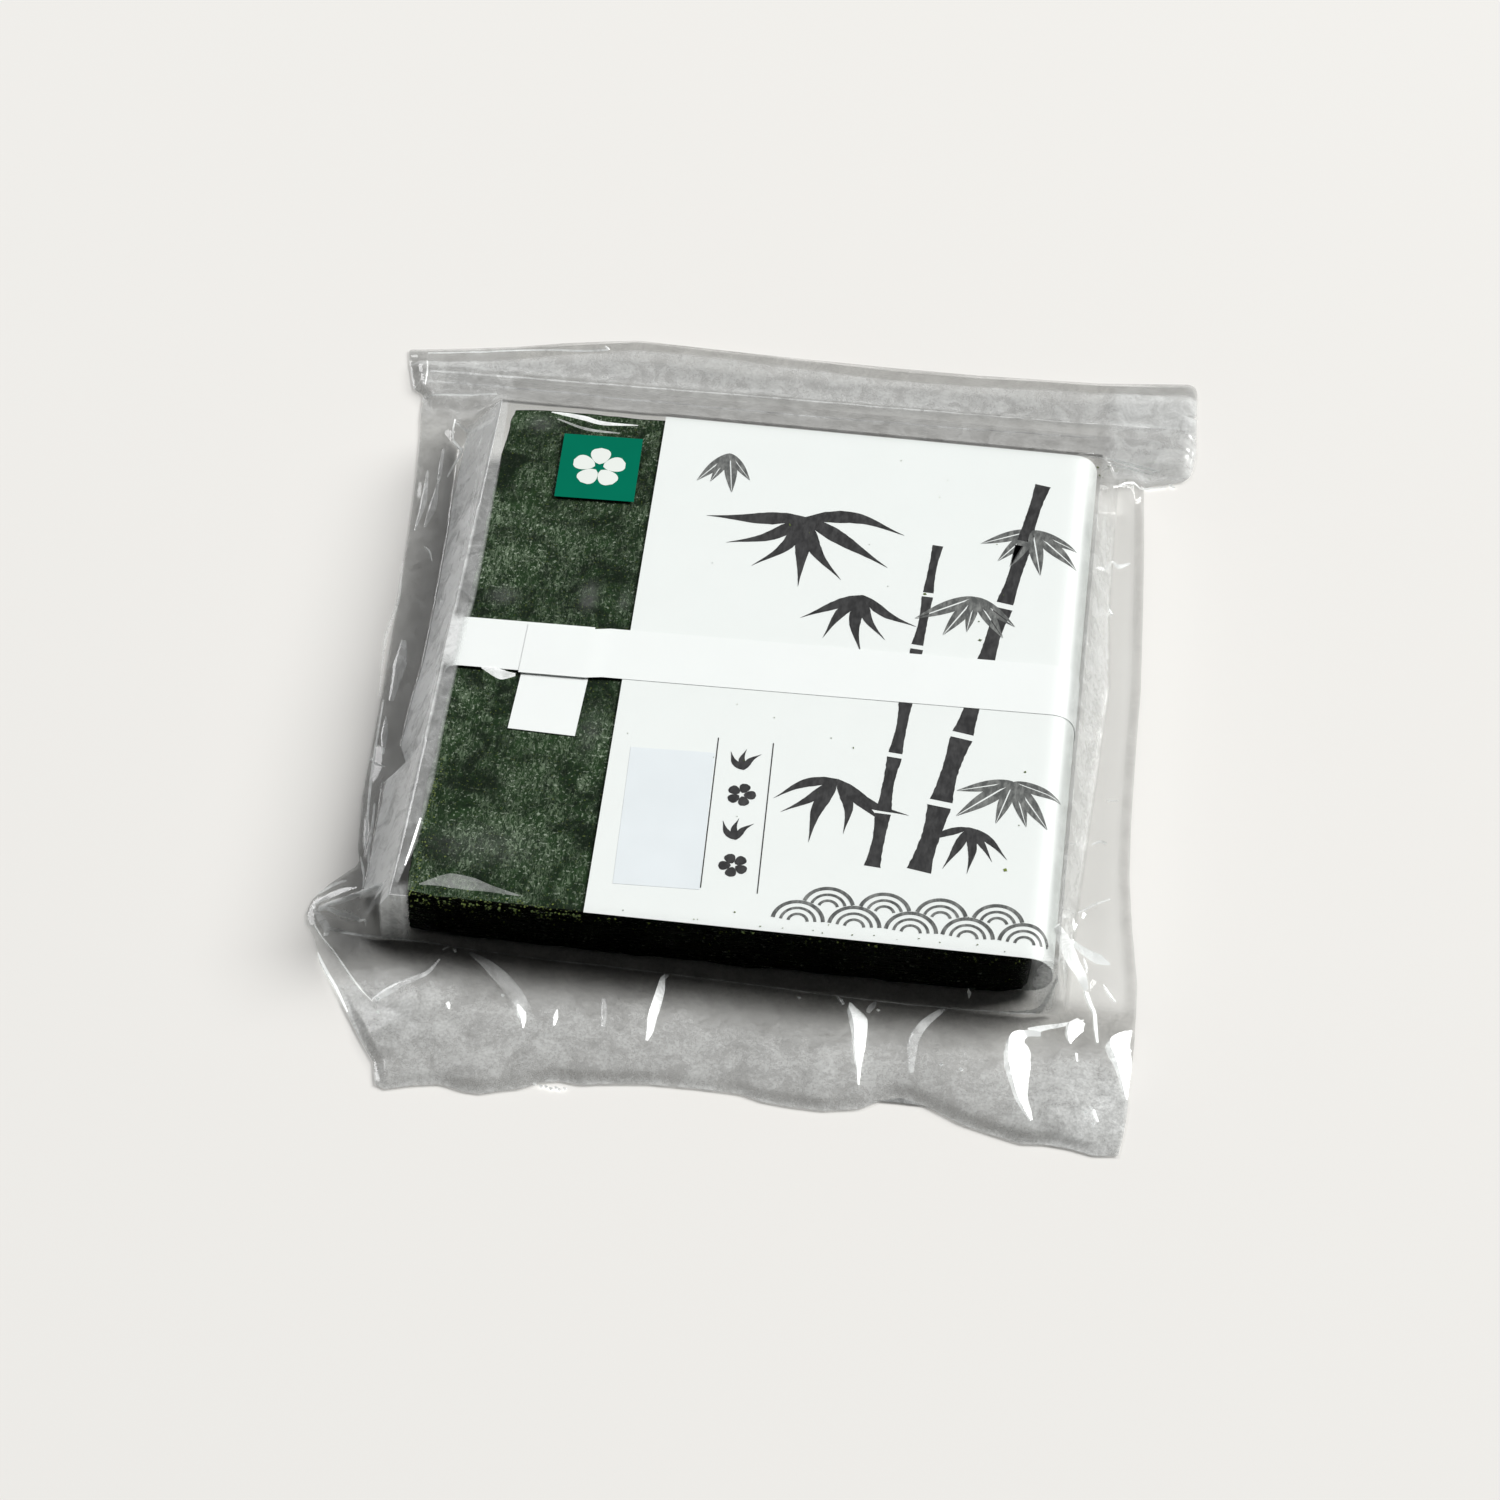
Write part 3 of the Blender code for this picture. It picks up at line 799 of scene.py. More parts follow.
@dataclass
class Wrapper:
    """The printed paper, a C that is open on the left."""

    left_far: float = -43.3
    left_near: float = -40.0
    near: float = -105.8
    far: float = 106.4
    under_short: float = 3.0
    shape: PaperPath = PaperPath(WRAPPER_BOTTOM + PAPER, WRAPPER_TOP - PAPER)

    def path(self) -> Array:
        """The inner face, from the top's left edge round the right side to the bottom's left edge.

        Returns:
            Points (x, z).
        """
        shape = self.shape
        top = run((self.left_far, shape.top), (shape.right_from, shape.top), 60)
        under = run((shape.right_from, shape.bottom), (self.left_far, shape.bottom), 30)[1:]
        return np.concatenate([top, shape.right_side(), under, [[self.left_far, shape.bottom]]])

    def build(self, material: bpy.types.Material) -> None:
        """Makes the wrapper, with its left edge cut askew.

        Args:
            material: the paper.
        """
        path = self.path()
        low = (path[:, 1].max() - path[:, 1]) / np.ptp(path[:, 1])
        near = self.near + self.under_short * ramp_up(low, 0, 1)
        points, faces = swept(path, near, np.full(len(path), self.far), 60)
        part = (points[:, 1] - self.far) / (self.near - self.far)
        right = self.shape.right_from
        left = np.clip((right - points[:, 0]) / (right - self.left_far), 0, 1)
        points[:, 0] += (self.left_near - self.left_far) * part * left
        make_piece("printed_wrapper", [(points, faces)], material, ("paper_wrapper",))

    def lay(self, flat: Array, lift: float) -> Array:
        """Lays flat artwork on the paper. Past the straight top it follows the rounded side, by length.

        Args:
            flat: points (..., 2) of (x, y) as if the paper were flat to the right of its top.
            lift: how far they stand off the paper.

        Returns:
            Points (..., 3).
        """
        bend = self.shape.right_side()
        along = np.concatenate([[0], np.cumsum(np.linalg.norm(np.diff(bend, axis=0), axis=1))])
        past = np.clip(flat[..., 0] - self.shape.right_from, 0, along[-1])
        x = np.minimum(flat[..., 0], self.shape.right_from) + np.interp(past, along, bend[:, 0]) - bend[0, 0]
        return np.stack([x, flat[..., 1], np.interp(past, along, bend[:, 1]) + PAPER + lift], -1)


@dataclass
class Band:
    """The paper band, which laps over its own end on the left of the top."""

    width: float = 20.8
    lap_from: float = -74.3
    lap_to: float = -53.0
    ramp: float = 5.0
    left_from: float = -92.5
    left_reach: float = -6.0
    left_power: float = 3.0
    right_reach: float = 9.15
    middle_left: float = -2.5
    middle_right: float = 1.6
    lap_step: float = -0.9
    lap_points: int = 16
    between: float = 0.03

    def build(self, material: bpy.types.Material) -> None:
        """Makes the band from the lap's upper end right round to its lower end.

        Args:
            material: the paper.
        """
        top = WRAPPER_TOP + self.between
        lap = top + PAPER + self.between
        shape = PaperPath(BAND_BOTTOM + PAPER, top, right_reach=self.right_reach)
        down = self.lap_to + self.ramp
        path = np.concatenate([
            run((self.lap_from, lap), (self.lap_to, lap), 12),
            run((self.lap_to, lap), (down, top), 4),
            run((down, top), (shape.right_from, top), 50),
            shape.right_side(),
            run((shape.right_from, shape.bottom), (self.left_from, shape.bottom), 40)[1:],
            shape.side(self.left_from, self.left_reach, self.left_power)[::-1],
            run((self.left_from, top), (self.lap_to, top), 20)[1:],
            [[self.lap_to, top]],
        ])
        part = (path[:, 0] - path[:, 0].min()) / np.ptp(path[:, 0])
        middle = self.middle_left + (self.middle_right - self.middle_left) * part
        middle = middle + self.lap_step * np.clip((self.lap_points - np.arange(len(path))) / 4, 0, 1)
        body = swept(path, middle - self.width / 2, middle + self.width / 2, 10)
        make_piece("white_band", [body], material, ("paper_band",))


@dataclass(frozen=True)
class Label:
    """A flat label: its middle, size, turn in degrees, the height of its lower face and its thickness."""

    name: str
    node: str
    slot: Slot
    middle: Pair
    size: Pair
    turn: float
    base: float
    thick: float = PAPER

    def place(self, u: Array, v: Array, lift: float) -> Array:
        """Points for parameters from -1 to 1 across and along the label: a level plane, turned.

        Args:
            u, v: the parameters.
            lift: how far the points stand off the lower face.

        Returns:
            Points (..., 3).
        """
        x, y = u * self.size[0] / 2, v * self.size[1] / 2
        c, s = math.cos(math.radians(self.turn)), math.sin(math.radians(self.turn))
        z = self.base + lift + 0 * x
        return np.stack([self.middle[0] + x * c - y * s, self.middle[1] + x * s + y * c, z], -1)

    def lay(self, flat: Array, lift: float) -> Array:
        """Lays flat artwork, given as (x, y) from the label's middle, on its upper face."""
        return self.place(flat[..., 0] * 2 / self.size[0], flat[..., 1] * 2 / self.size[1], self.thick + lift)

    def build(self, material: bpy.types.Material) -> None:
        """Makes the label as a thin plate.

        Args:
            material: the paper.
        """
        u, v = np.meshgrid(np.linspace(-1, 1, 14), np.linspace(-1, 1, 20))
        body = closed_sheet(self.place(u, v, self.thick), self.place(u, v, 0.0))
        make_piece(self.name, [body], material, (self.node,))


class Ink:
    """Gathers brush strokes as thin plates, to be laid on paper."""

    def __init__(self, lay: Callable[[Array, float], Array], seed: int = 5) -> None:
        """Starts with no strokes.

        Args:
            lay: lays flat (x, y) points on the paper, at a lift.
            seed: fixes how the strokes' edges stray.
        """
        self.lay = lay
        self.draw = np.random.default_rng(seed)
        self.parts: list[Body] = []

    def stroke(
        self, stops: Array | Line, widths: tuple[float, ...], count: int = 24, rough: float = 0.0
    ) -> None:
        """One brush stroke: a curve through the stops, as wide along it as the widths say.

        Args:
            stops: (x, y) of the stroke's middle.
            widths: full widths spread evenly along it.
            count: how many points the stroke has.
            rough: how far its edges stray, as a share of its width.
        """
        line = curve_through(stops, count)
        half = evenly(widths, count) / 2
        stray = 1 + rough * self.draw.uniform(-1, 1, (2, count))
        tangent = unit_rows(np.gradient(line, axis=0))
        across = np.stack([tangent[:, 1], -tangent[:, 0]], -1)
        right = line + across * (half * stray[0])[:, None]
        left = line - across * (half * stray[1])[:, None]
        flat = np.stack([left, right], 1)
        lift = 0.02 + 0.0008 * len(self.parts)
        self.parts.append(closed_sheet(self.lay(flat, lift + 0.01), self.lay(flat, lift)))

    def leaf(self, root: Pair, angle: float, length: float, width: float, bend: float = 0.12) -> None:
        """A pointed leaf: widest at a third of its length, on a slightly bent middle line.

        Args:
            root: where it starts.
            angle: its direction, in radians.
            length, width: its size.
            bend: how far its middle strays, as a share of its length.
        """
        d = np.array([math.cos(angle), math.sin(angle)])
        n = np.array([-d[1], d[0]])
        start = np.array(root)
        stops = [start, start + d * length * 0.5 + n * length * bend, start + d * length]
        self.stroke(stops, tuple(width * part for part in (0.10, 0.8, 1, 0.85, 0.5, 0.2, 0.02)), 22, 0.04)

    def veined_leaf(self, root: Pair, angle: float, length: float, width: float) -> None:
        """A leaf in two halves, with the paper showing between them as its rib.

        Args:
            root: where it starts.
            angle: its direction, in radians.
            length, width: its size.
        """
        d = np.array([math.cos(angle), math.sin(angle)])
        n = np.array([-d[1], d[0]])
        t = np.linspace(0, 1, 16)
        swell = np.sin(np.pi * t**0.75)
        for side in (-1, 1):
            off = n * side * (0.25 * width * swell + 0.02 * width)[:, None]
            widths = tuple(np.maximum(0.44 * width * swell, 0.01 * width))
            self.stroke(np.array(root) + d * length * t[:, None] + off, widths, 30)

    def arc(self, middle: Pair, radius: float, start: float, stop: float, width: float) -> None:
        """Part of a ring.

        Args:
            middle, radius: the ring's.
            start, stop: the angles of its ends, in radians.
            width: the stroke's width.
        """
        angle = np.linspace(start, stop, 18)
        stops = np.array(middle) + radius * np.stack([np.cos(angle), np.sin(angle)], -1)
        self.stroke(stops, (width, width), 26)

    def blossom(self, middle: Pair, radius: float, turn: float) -> None:
        """Five round petals about a small open middle, each as wide along it as half a circle.

        Args:
            middle: the blossom's middle.
            radius: its size.
            turn: the first petal's direction, in radians.
        """
        t = np.linspace(0, 1, 12)
        wide = 0.92 * radius * np.sqrt(np.clip(1 - (2 * t - 1) ** 2, 0, 1)) * (0.55 + 0.45 * t)
        for k in range(5):
            angle = turn + 2 * math.pi * k / 5
            d = np.array([math.cos(angle), math.sin(angle)])
            stops = np.array(middle) + d * radius * 0.16 + d * radius * 0.84 * t[:, None]
            self.stroke(stops, tuple(np.maximum(wide, 0.01 * radius)), 24)

    def make(self, name: str, material: bpy.types.Material, slot: Slot) -> None:
        """Makes one piece of all the strokes."""
        make_piece(name, self.parts, material, smooth=False)


@dataclass
class Artwork:
    """The wrapper's generic print: brushed bamboo, waves along the near edge, and two rules with small marks.

    A cane is its foot, its head, its width and its joints. A spray is its place, its leaves' length, how many
    they are, and if they are bold.
    """

    wrapper: Wrapper
    canes: tuple[tuple[Pair, Pair, float, int], ...] = (
        ((58, -78), (84, 92), 6.0, 6), ((44, -78), (52, 60), 4.0, 6),
    )
    sprays: tuple[tuple[float, float, float, int, bool], ...] = (
        (8, 66, 38, 7, True), (30, 34, 26, 5, True), (82, 70, 24, 6, False), (66, 38, 22, 5, False),
        (84, -38, 24, 6, False), (30, -44, 28, 6, True), (72, -58, 20, 5, True), (-20, 92, 18, 4, False),
    )
    arcs: tuple[Pair, ...] = ((7.6, 1.2), (5.2, 0.9), (2.9, 0.9))
    arc_step: float = 17.0
    rules_at: Pair = (-8.4, 8.8)
    marks_at: tuple[float, ...] = (-40, -54, -68, -82)

    def draw_canes(self, ink: Ink) -> None:
        """Canes that rise side by side, drawn joint by joint with a gap at each.

        Args:
            ink: takes the strokes.
        """
        for foot, head, wide, joints in self.canes:
            foot_at, way = np.array(foot), np.array(head) - np.array(foot)
            for k in range(joints):
                a = foot_at + way * (k + 0.04) / joints
                b = foot_at + way * (k + 0.96) / joints
                sway = np.array([0.24 * (-1) ** k, 0])
                width = wide * (1 - 0.06 * k)
                widths = (1.25 * width, width, 0.92 * width, width, 1.25 * width)
                ink.stroke((a, (a + b) / 2 + sway, b), widths, 20, 0.05)

    def draw_sprays(self, bold: Ink, pale: Ink) -> None:
        """Sprays of long leaves that hang from the canes: bold ones near, pale ones behind.

        Args:
            bold, pale: take the strokes.
        """
        draw = np.random.default_rng(11)
        for x, y, size, count, dark in self.sprays:
            for k in range(count):
                angle = -math.pi / 2 + (k - (count - 1) / 2) * 0.46 + draw.uniform(-0.12, 0.12)
                length = size * draw.uniform(0.7, 1.0)
                if dark:
                    bold.leaf((x, y), angle, length, length * 0.17, draw.uniform(-0.12, 0.12))
                else:
                    pale.veined_leaf((x, y), angle, length, length * 0.24)

    def draw_waves(self, ink: Ink) -> None:
        """Two rows of nested arcs, the second half a step along from the first.

        Args:
            ink: takes the strokes.
        """
        for row, start in enumerate((0.10, 0.28)):
            for k in range(5 - row):
                middle = (24 + 8.5 * row + k * self.arc_step, -101 + row * 6.2)
                for radius, width in self.arcs:
                    ink.arc(middle, radius, start, math.pi - start, width)

    def draw_rules(self, ink: Ink) -> None:
        """Two thin rules, with a column of small marks between them.

        Args:
            ink: takes the strokes.
        """
        for x in self.rules_at:
            ink.stroke(((x, -32), (x + 2.0, -92)), (0.35, 0.35), 12)
        for k, y in enumerate(self.marks_at):
            x = 0.6 - 0.035 * (y + 32)
            if k % 2:
                ink.blossom((x, y), 4.6, 0.3 + k)
            else:
                for turn in (-0.6, 0.0, 0.6):
                    ink.leaf((x, y - 4), math.pi / 2 + turn, 8.5, 2.2)

    def build(self, black: bpy.types.Material, grey: bpy.types.Material) -> None:
        """Makes the black print and the grey print.

        Args:
            black, grey: the inks.
        """
        bold, pale = Ink(self.wrapper.lay, 5), Ink(self.wrapper.lay, 6)
        self.draw_canes(bold)
        self.draw_sprays(bold, pale)
        self.draw_waves(pale)
        self.draw_rules(bold)
        bold.make("wrapper_print_black", black, Slot.WRAPPER)
        pale.make("wrapper_print_grey", grey, Slot.WRAPPER)


@dataclass
class Fold:
    """One fold of the film: a tent along a line, highest at its start."""

    start: Pair
    stop: Pair
    height: float
    width: float
    tail: float = 0.0
    skew: float = 1.0

    def rise(self, x: Array, y: Array) -> Array:
        """The tent's height: straight flanks, the far one skew times as wide, and a softened ridge.

        Args:
            x, y: where it is read.

        Returns:
            Heights.
        """
        a, b = np.array(self.start), np.array(self.stop)
        length = np.linalg.norm(b - a)
        ux, uy = (b - a) / length
        along = ((x - a[0]) * ux + (y - a[1]) * uy) / length
        off = (y - a[1]) * ux - (x - a[0]) * uy
        ridge = 1 - np.sqrt((off / (self.width * np.where(off > 0, 1.0, self.skew))) ** 2 + 0.004)
        ends = ramp_up(along, -0.06, 0.12) * ramp_down(along, 1.06, 0.3)
        high = self.height + (self.tail - self.height) * np.clip(along, 0, 1)
        return high * np.clip(ridge, 0, 1) * ends


@dataclass(frozen=True)
class Outline:
    """The bag's outline as it lies on the table.

    Each row of sides pairs a point of the left edge with one of the right edge, as y, x, y and x.
    """

    sides: tuple[tuple[float, float, float, float], ...] = (
        (-162.0, -94.1, -159.5, 125.1), (-154.0, -96.2, -152.0, 126.2), (-146.3, -101.5, -145.0, 126.8),
        (-135.9, -108.0, -135.0, 127.0), (-118.3, -119.0, -118.3, 127.5), (-110.9, -121.9, -110.9, 127.4),
        (-106.0, -125.4, -106.0, 127.4), (-101.8, -126.4, -101.8, 127.3), (-95.7, -125.4, -95.7, 127.1),
        (-89.3, -121.4, -89.3, 126.2), (-80.3, -113.7, -80.3, 125.1), (-74.5, -115.4, -74.5, 124.3),
        (-54.4, -117.8, -54.4, 122.4), (-33.7, -118.5, -33.7, 121.7), (-3.9, -119.7, -3.9, 121.5),
        (22.2, -121.1, 22.2, 121.6), (58.2, -123.1, 58.2, 120.4), (86.0, -125.3, 86.0, 119.2),
        (106.0, -127.4, 106.0, 118.0), (114.5, -128.8, 113.5, 117.6), (117.0, -129.0, 115.2, 119.5),
        (119.5, -129.2, 117.0, 126.6), (123.0, -129.4, 118.8, 130.6), (126.0, -129.9, 121.5, 132.8),
        (128.5, -133.4, 126.5, 133.8), (132.0, -134.6, 132.8, 134.3), (138.0, -136.3, 146.6, 133.8),
        (140.0, -136.9, 149.2, 133.7), (140.4, -137.0, 149.8, 132.2), (140.8, -137.1, 150.4, 133.6),
        (145.5, -138.1, 161.5, 133.4), (146.6, -138.2, 164.0, 132.8), (147.3, -138.2, 165.6, 131.6),
        (147.5, -137.4, 166.0, 130.2),
    )
    bottom_edge: Line = (
        (-94.1, -162.0), (-90.9, -163.4), (-83.0, -161.0), (-75.1, -159.5), (-68.0, -161.3), (-62.9, -161.5),
        (-56.0, -159.3), (-51.5, -158.2), (-46.0, -155.2), (-40.2, -153.8), (-34.0, -154.6), (-28.4, -153.4),
        (-14.0, -151.6), (1.2, -151.4), (13.1, -151.7), (20.0, -153.6), (28.2, -154.4), (38.0, -154.6),
        (48.7, -152.5), (55.0, -148.2), (61.5, -146.5), (69.0, -149.6), (78.4, -154.1), (86.0, -156.2),
        (96.4, -158.9), (104.0, -158.2), (111.0, -158.8), (118.0, -160.3), (125.1, -159.5),
    )
    top_edge: Line = (
        (-137.4, 147.5), (-118.0, 150.6), (-100.7, 153.9), (-86.0, 157.6), (-71.6, 160.4), (-60.0, 162.4),
        (-30.0, 161.5), (-3.9, 160.9), (30.0, 160.6), (58.5, 160.8), (99.9, 162.4), (130.2, 166.0),
    )

    def across(self, y: Array) -> tuple[Array, Array]:
        """x of the left and the right edge at y."""
        table = np.array(self.sides)
        return np.interp(y, table[:, 0], table[:, 1]), np.interp(y, table[:, 2], table[:, 3])

    def along(self, x: Array) -> tuple[Array, Array]:
        """y of the near and the far edge at x."""
        return line_over(self.bottom_edge, x), line_over(self.top_edge, x)

    def inset(self, x: Array, y: Array) -> Array:
        """How far inside the nearest edge a place is, measured along x or y."""
        return margin(x, y, *self.across(y), *self.along(x))


@dataclass
class Bag:
    """The clear bag: a front film that goes up over the stack, and a back film that lies under it.

    Of the soft ovals, the whitening_and_painted_light_spots whiten the film, some as painted light and
    painted reflections, and quiet ones dull what it mirrors.
    """

    outline: Outline = Outline()
    dome: tuple[float, float, float, float] = (-98.8, 102.4, -106.6, 107.4)
    near_foot: Line = (
        (-118.0, -107.9), (-104.0, -107.6), (-90.0, -107.6), (-81.0, -108.3), (-71.5, -109.0),
        (-52.0, -109.6), (-23.7, -110.0), (8.0, -111.0), (36.0, -112.0), (73.0, -112.5), (95.0, -111.5),
        (101.0, -110.5),
    )
    left_foot: Line = (
        (-111.0, -104.0), (-110.8, -83.0), (-111.8, -57.7), (-112.8, -47.2), (-105.9, -40.9), (-109.7, -32.1),
        (-109.6, -14.7), (-108.7, 4.4), (-109.2, 30.0), (-110.5, 63.1), (-113.0, 97.0), (-113.5, 112.0),
    )
    right_foot: Line = (
        (106.0, -96.0), (107.5, -60.8), (109.0, -31.9), (110.3, -1.8), (111.4, 22.8), (109.4, 55.1),
        (108.6, 106.7),
    )
    veil_edge: Line = (
        (-97.0, -104.0), (-95.8, -95.9), (-93.6, -86.0), (-92.8, -60.0), (-93.4, -36.0), (-93.4, -13.0),
        (-92.7, 20.0), (-93.4, 47.0), (-94.3, 74.5), (-95.9, 101.7), (-96.5, 106.0),
    )
    hem: Line = (
        (-126.5, -101.0), (-123.2, -105.8), (-115.2, -115.3), (-106.6, -126.3), (-100.0, -133.5),
        (-96.0, -150.0),
    )
    folds: tuple[Fold, ...] = (
        Fold((-98, -97), (-124.5, -101.2), 17, 8, 1.5, 0.6),
        Fold((-98, 100), (-116.5, 116), 13, 8, 1.0),
        Fold((99, 103), (120, 116), 10, 7, 1.0),
        Fold((101, -93), (112.5, -101.5), 15, 7, 1.5),
    )
    # White spots: the first three pale the flap and the near left corner, the fourth is painted light glowing
    # through the paper at the near right corner, and the last six are painted reflections on the film over
    # the sheets
    whitening_and_painted_light_spots: tuple[tuple[float, Pair, Pair], ...] = (
        (0.20, (118, -146), (34, 34)), (0.12, (-97, -136), (30, 20)), (0.11, (-113, -108), (17, 15)),
        (0.50, (99.5, -108), (6.5, 4.5)), (0.04, (-84, 19), (7, 6)), (0.05, (-57, 22), (4.5, 10)),
        (0.04, (-45.5, 22), (3, 7)), (0.04, (-84, 98), (8, 6)), (0.02, (-48, -34), (6, 16)),
        (0.02, (-74, -84), (26, 12)),
    )
    quiet: tuple[tuple[float, Pair, Pair], ...] = (
        (0.92, (-100, -126), (38, 34)), (0.9, (132, 124), (9, 12)), (0.9, (-117, -117), (10, 18)),
    )
    row_stops: tuple[float, ...] = (-162, -128, -112.5, -105, -96, 98, 107.4, 127, 139.9, 141, 147.5)
    row_steps: tuple[int, ...] = (50, 40, 20, 8, 92, 10, 24, 24, 4, 15)
    steps: tuple[int, ...] = (20, 18, 6, 96, 10, 14, 4)
    back_steps: tuple[int, ...] = (8, 6, 2, 30, 4, 5, 2)
    gaps: tuple[float, float, float] = (2.5, 12.0, 16.0)
    far_fall: float = 19.0
    power: float = 1.1
    weld: float = 3.0
    edge_depth: float = 12.0
    seal: float = 0.5
    band_at: float = -2.0
    zip_at: float = 131.8

    def plan(self, steps: tuple[int, ...], rows: Array) -> tuple[Array, Array]:
        """x and y of a grid that fills the outline.

        A row runs straight from its point on the left edge to its partner on the right one, and its columns
        pass through the lines that the film folds along. Near the narrow corners these lines are pushed
        inwards. The lowest and highest rows follow the wavy edges, which fades out over edge_depth.

        Args:
            steps: how many columns lie between each two of the lines.
            rows: y of the rows at the left edge.

        Returns:
            x and y, each of shape (rows, columns).
        """
        table = np.array(self.outline.sides)
        left, right_y, right = (np.interp(rows, table[:, 0], table[:, k]) for k in (1, 2, 3))
        lean = (right_y - rows) / (right - left)
        inner = []
        left_top, right_top = (((x, 0),) for x in self.dome[:2])
        for line in (self.left_foot, left_top, self.veil_edge, right_top, self.right_foot):
            guess = line_at(line, rows)
            inner.append(line_at(line, rows + lean * (guess - left)))
        pushed = [np.maximum(x, left + gap) for x, gap in zip(inner, self.gaps)]
        lines = np.stack([left, *pushed, *inner[3:], right - self.weld, right], -1)
        at = np.concatenate([*(k + np.arange(count) / count for k, count in enumerate(steps)), [len(steps)]])
        span = np.minimum(at.astype(int), len(steps) - 1)
        x = lines[:, span] * (1 - at + span) + lines[:, span + 1] * (at - span)
        y = rows[:, None] + lean[:, None] * (x - left[:, None])
        for row, edge in ((0, self.outline.along(x[0])[0]), (-1, self.outline.along(x[-1])[1])):
            fade = np.clip(1 - np.abs(rows - rows[row]) / self.edge_depth, 0, 1)
            y = y + fade[:, None] * (edge - y[row])[None, :]
        return x, y

    def over_stack(self, x: Array, y: Array) -> Array:
        """The film's rise over the stack: level on top, then down each side to its foot, almost straight.

        Args:
            x, y: where it is read.

        Returns:
            Heights.
        """
        left, right, near, far = self.dome
        to_left = (left - x) / (left - line_at(self.left_foot, y))
        to_right = (x - right) / (line_at(self.right_foot, y) - right)
        to_near = (near - y) / (near - line_over(self.near_foot, x))
        out_x = np.maximum(to_left, to_right)
        out_y = np.maximum(to_near, (y - far) / self.far_fall)
        over = np.clip(1 - np.hypot(np.maximum(out_x, 0), np.maximum(out_y, 0)), 0, 1)
        band = ramp_down(np.abs(y - self.band_at), 15, 6)
        lifted = 1 - (1 - band) * (1 - ramp_up(x, -48.5, 8))
        low = STACK_TOP + LOW_FILM
        top = low + (WRAPPER_TOP + OVER_PAPER - low) * lifted
        return (top - self.seal) * over**self.power

    def flap(self, x: Array, y: Array) -> Array:
        """The near flap's soft swell, a parabola from the stack to the edge that dies out at its ends.

        Args:
            x, y: where it is read.

        Returns:
            Heights.
        """
        start = line_over(self.near_foot, x)
        down = np.clip((start - y) / (start - self.outline.along(x)[0]), 0, 1)
        ends = ramp_up(np.minimum(x + 114, 128 - x), 0, 30)
        swell = 3.0 * (1 + 0.30 * ripple(x, y, 41, 70)) + 0.35 * np.abs(ripple(x, 0.6 * y, 42, 24))
        return swell * (4 * down * (1 - down)) ** 0.7 * ends

    def header(self, x: Array, y: Array) -> Array:
        """The header's swell over the zip, with two bell-shaped ribs, and a slight curl of its top border.

        Args:
            x, y: where it is read.

        Returns:
            Heights.
        """
        off = y - self.zip_at
        swell = 1.75 * np.clip(1 - (np.abs(off) - 7.5) / 4, 0, 1)
        ribs = 0.25 * sum(np.exp(-(((off - at) / 0.7) ** 2)) for at in (-2, 2))
        curl = 2.0 * ramp_up(y, 138, 24) * (1 + 0.5 * ripple(x, y, 51, 110))
        return swell + ribs + np.maximum(curl, 0)

    def crumple(self, x: Array, y: Array) -> Array:
        """Small sharp creases: folded ripples, strongest beside the stack and on the flap, faint on top.

        Args:
            x, y: where it is read.

        Returns:
            Heights.
        """
        away = ramp_down(margin(x, y, *self.dome), 0, 6)
        sharp = np.abs(ripple(x, y, 61, 30)) + 0.35 * np.abs(ripple(x, y, 62, 13))
        soft = 0.5 + 0.5 * ripple(x, y, 63, 45)
        return 0.24 * sharp * away + 0.06 * np.clip(soft, 0, 1.5)

    def front_height(self, x: Array, y: Array) -> Array:
        """The front film's lower face, which comes down to the seal over the last millimetres.

        Args:
            x, y: where it is read.

        Returns:
            Heights above the table.
        """
        folds = [fold.rise(x, y) for fold in self.folds]
        high = np.maximum.reduce([self.over_stack(x, y), self.flap(x, y), *folds, self.header(x, y)])
        return self.seal + (high + self.crumple(x, y)) * ramp_up(self.outline.inset(x, y), 0, 4)

    def slope(self, x: Array, y: Array) -> Array:
        """1 on the film's slope at the stack's left, with a crisp edge along its foot, and 0 elsewhere.

        Args:
            x, y: where it is read.

        Returns:
            Shares from 0 to 1.
        """
        foot = np.maximum(line_at(self.left_foot, y), -102.3 - 9.0 * ramp_up(y, -101.5, 3))
        past_foot = ramp_up(x, foot, 0.5)
        side = past_foot * ramp_down(x, -98.4, 0.6)
        corner = 0.18 * ramp_down(y, -100.5, 4) + 0.5 * ramp_down(y, -106.2, 0.4)
        corner = corner * past_foot * ramp_down(x, -93.4, 0.4)
        return np.maximum(side, corner) * ramp_up(y, -107.9, 0.4) * ramp_down(y, 112, 10)

    def veil(self, x: Array, y: Array) -> Array:
        """1 on the strip of film that bridges the stack's top left edge, with a crisp right edge."""
        inside = ramp_up(x, self.dome[0], 0.6) * ramp_down(x, line_at(self.veil_edge, y), 0.4)
        return inside * ramp_up(y, -103, 2) * ramp_down(y, 107, 2)

    def band_end(self, x: Array, y: Array) -> Array:
        """1 where the white band bends down the stack's left side, under film that lies on it.

        Args:
            x, y: where it is read.

        Returns:
            Shares from 0 to 1.
        """
        across = np.abs(y - self.band_at + 0.8) / 10.6
        reach = -101.6 + 3.4 * np.clip(across, 0, 1) ** 4
        return ramp_down(across, 1, 0.08) * ramp_up(x, reach, 0.7) * ramp_down(x, -93.5, 3)

    def right_slope(self, x: Array, y: Array) -> Array:
        """1 on the film's slope at the stack's right, down to a crisp foot line."""
        inside = ramp_up(x, 101.6, 0.8) * ramp_down(x, line_at(self.right_foot, y), 0.5)
        return inside * ramp_up(y, -104, 8) * ramp_down(y, 100, 20)

